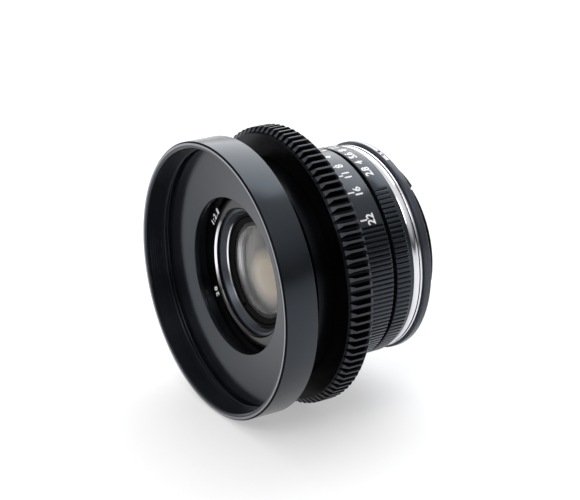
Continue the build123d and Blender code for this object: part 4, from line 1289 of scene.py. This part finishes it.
@dataclass
class CarriedNodes(Dressing):
    """CAD nodes that keep their shape and take a finish."""

    nodes: dict

    def build(self) -> None:
        """Give every CAD node the finish of its slot, or its own."""
        own = {
            "front_barrel": self.finishes.of(Slot.GEAR),
            "focus_ring": self.finishes.of(Slot.GEAR),
            "main_barrel": self.finishes.of(Slot.MATT),
            "lens_carrier": self.finishes.of(Slot.MATT),
            "bayonet": self.finishes.mount,
            # Cell and retainer are black, deepened to a painted shade with almost no sheen.
            "front_cell": self.finishes.well,
            "front_retainer": self.finishes.well,
        }
        for name, node in sorted(self.nodes.items()):
            for place in node.material_slots:
                slot = place.material.name.split(".")[0]
                place.material = own.get(name, self.finishes.by_slot[slot])
            LOG.info("%s: %s", name, slot)


@dataclass
class Studio:
    """Pale floor and soft light.

    Attributes:
        floor_height: height of the floor in millimetres.
        reach: half the floor's side in metres.
        floor_glow: share of plain white in the floor that is seen.
        key: direction that most of the room's light comes from.
        far: colour of the room on the other side.
        horizon: heights between which the white horizon fades.
        ceiling: heights between which the ceiling brightens.
        dim: brightness below the ceiling.
    """

    floor_height: float = -40.4
    reach: float = 1.6
    floor_glow: float = 0.4
    key: tuple = (-0.25, 0.0, 0.97)
    far: tuple = (0.42, 0.45, 0.52)
    horizon: tuple = (0.04, 0.2)
    ceiling: tuple = (0.25, 0.75)
    dim: float = 0.12

    @staticmethod
    def in_view(graph: Graph) -> NodeSocket:
        """Tell the rays that show the background from those that only light the lens.

        Args:
            graph: node tree.

        Returns:
            1 for camera rays and for rays that metal or glass sends on, 0 for the others.
        """
        rays = graph.add("LightPath").outputs
        bright = graph.math("MAXIMUM", rays["Is Camera Ray"], rays["Is Glossy Ray"])
        return graph.math("MAXIMUM", bright, rays["Is Transmission Ray"])

    def floor(self) -> None:
        """Build the floor, white to the camera but for the shadow."""
        bm = bmesh.new()
        bmesh.ops.create_grid(bm, x_segments=8, y_segments=8, size=self.reach)
        bmesh.ops.translate(bm, verts=bm.verts, vec=(0, 0, self.floor_height * MM))
        floor = solid("floor", bm)
        material, graph = surface("pale_floor")
        shader = graph.add("MixShader", {
            0: graph.math("MULTIPLY", self.in_view(graph), self.floor_glow),
            1: graph.add("BsdfDiffuse", {"Color": (0.98, 0.98, 0.985)}).outputs[0],
            2: graph.add("Emission", {"Color": WHITE, "Strength": 1.0}).outputs[0],
        })
        graph.add("OutputMaterial", {"Surface": shader.outputs[0]})
        floor.data.materials.append(material)

    def world(self) -> None:
        """Light the room, with a white horizon behind the lens and a ceiling that fades towards the sides."""
        world = bpy.data.worlds.new("room")
        bpy.context.scene.world = world
        world.use_nodes = True
        graph = Graph(world.node_tree)
        direction = graph.add("TexCoord").outputs["Generated"]
        facing = graph.vector("DOT_PRODUCT", direction, Vector(self.key).normalized())
        glow = graph.spread(facing, -0.1, 0.9, 0.3, 1.0, interpolation_type="SMOOTHSTEP")
        room = graph.add("Background", {"Color": graph.blend(glow, self.far, WHITE), "Strength": glow})
        height = graph.add("SeparateXYZ", {0: direction}).outputs[2]
        white = graph.math("MAXIMUM", graph.spread(height, *self.ceiling, self.dim, 1.0),
                           graph.spread(height, *self.horizon, 1.0, 0.0))
        backdrop = graph.add("Background", {"Color": WHITE, "Strength": white})
        mixed = graph.add("MixShader", {0: self.in_view(graph), 1: room.outputs[0], 2: backdrop.outputs[0]})
        graph.add("OutputWorld", {"Surface": mixed.outputs[0]})

    @staticmethod
    def lamp(name: str, place: tuple, size: float, power: float, colour: tuple) -> None:
        """Add a soft lamp that faces the lens.

        Args:
            name: lamp name.
            place: position in metres.
            size: side of the square lamp in metres.
            power: power in watts.
            colour: light colour.
        """
        light = bpy.data.lights.new(name, "AREA")
        light.size = size
        light.energy = power
        light.color = colour
        lamp = placed(name, light)
        lamp.location = place
        lamp.rotation_euler = (-Vector(place)).to_track_quat("-Z", "Y").to_euler()

    def build(self) -> None:
        """Build floor, room and lamps."""
        self.floor()
        self.world()
        self.lamp("key_light", (-0.54, 0.48, 0.62), 1.15, 10.0, (0.96, 0.98, 1.0))
        self.lamp("fill_light", (0.5, -0.9, 0.8), 0.55, 5.0, (1.0, 0.98, 0.96))
        self.lamp("catch_light", (-0.49, -0.87, 0.0), 0.07, 0.5, (1.0, 0.98, 0.96))


@dataclass
class PhotoCamera:
    """Camera at the photograph's viewing angle."""

    place: tuple = (0.4628, -0.3193, 0.2250)
    right: tuple = (0.53260, 0.84637, 0.0)
    up: tuple = (-0.31709, 0.19954, 0.92716)
    forward: tuple = (-0.78472, 0.49381, -0.37465)
    lens: float = 127.9

    def build(self) -> None:
        """Build the camera and make it the scene's own."""
        data = bpy.data.cameras.new("photo_camera")
        data.lens = self.lens
        data.sensor_width = 36.0
        data.sensor_fit = "HORIZONTAL"
        data.clip_start = 0.01
        data.clip_end = 20.0
        camera = placed("photo_camera", data)
        turn = Matrix((self.right, self.up, -Vector(self.forward))).transposed()
        camera.matrix_world = Matrix.Translation(self.place) @ turn.to_4x4()
        bpy.context.scene.camera = camera


def main() -> None:
    """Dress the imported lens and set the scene."""
    logging.basicConfig(level=logging.INFO, format="%(name)s %(message)s")
    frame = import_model()
    bpy.context.scene.view_settings.view_transform = "Standard"
    finishes = Finishes()
    pieces = (
        CarriedNodes(finishes, frame["nodes"]),
        FrontRing(finishes),
        NameRing(finishes),
        ShadeCone(finishes),
        BrightLip(finishes),
        FocusGear(finishes),
        ScaleRing(finishes, "scale_ring", Body.BARREL, 2.575, 61.0),
        ApertureRing(finishes, "aperture_ring", Body.APERTURE, 2.757, 37.5),
        ChromeRing(finishes),
        MountFlange(finishes),
        GlassStack(finishes),
        Studio(),
        PhotoCamera(),
    )
    for piece in pieces:
        piece.build()
        LOG.info("built %s", type(piece).__name__)


if __name__ == "__main__":
    main()
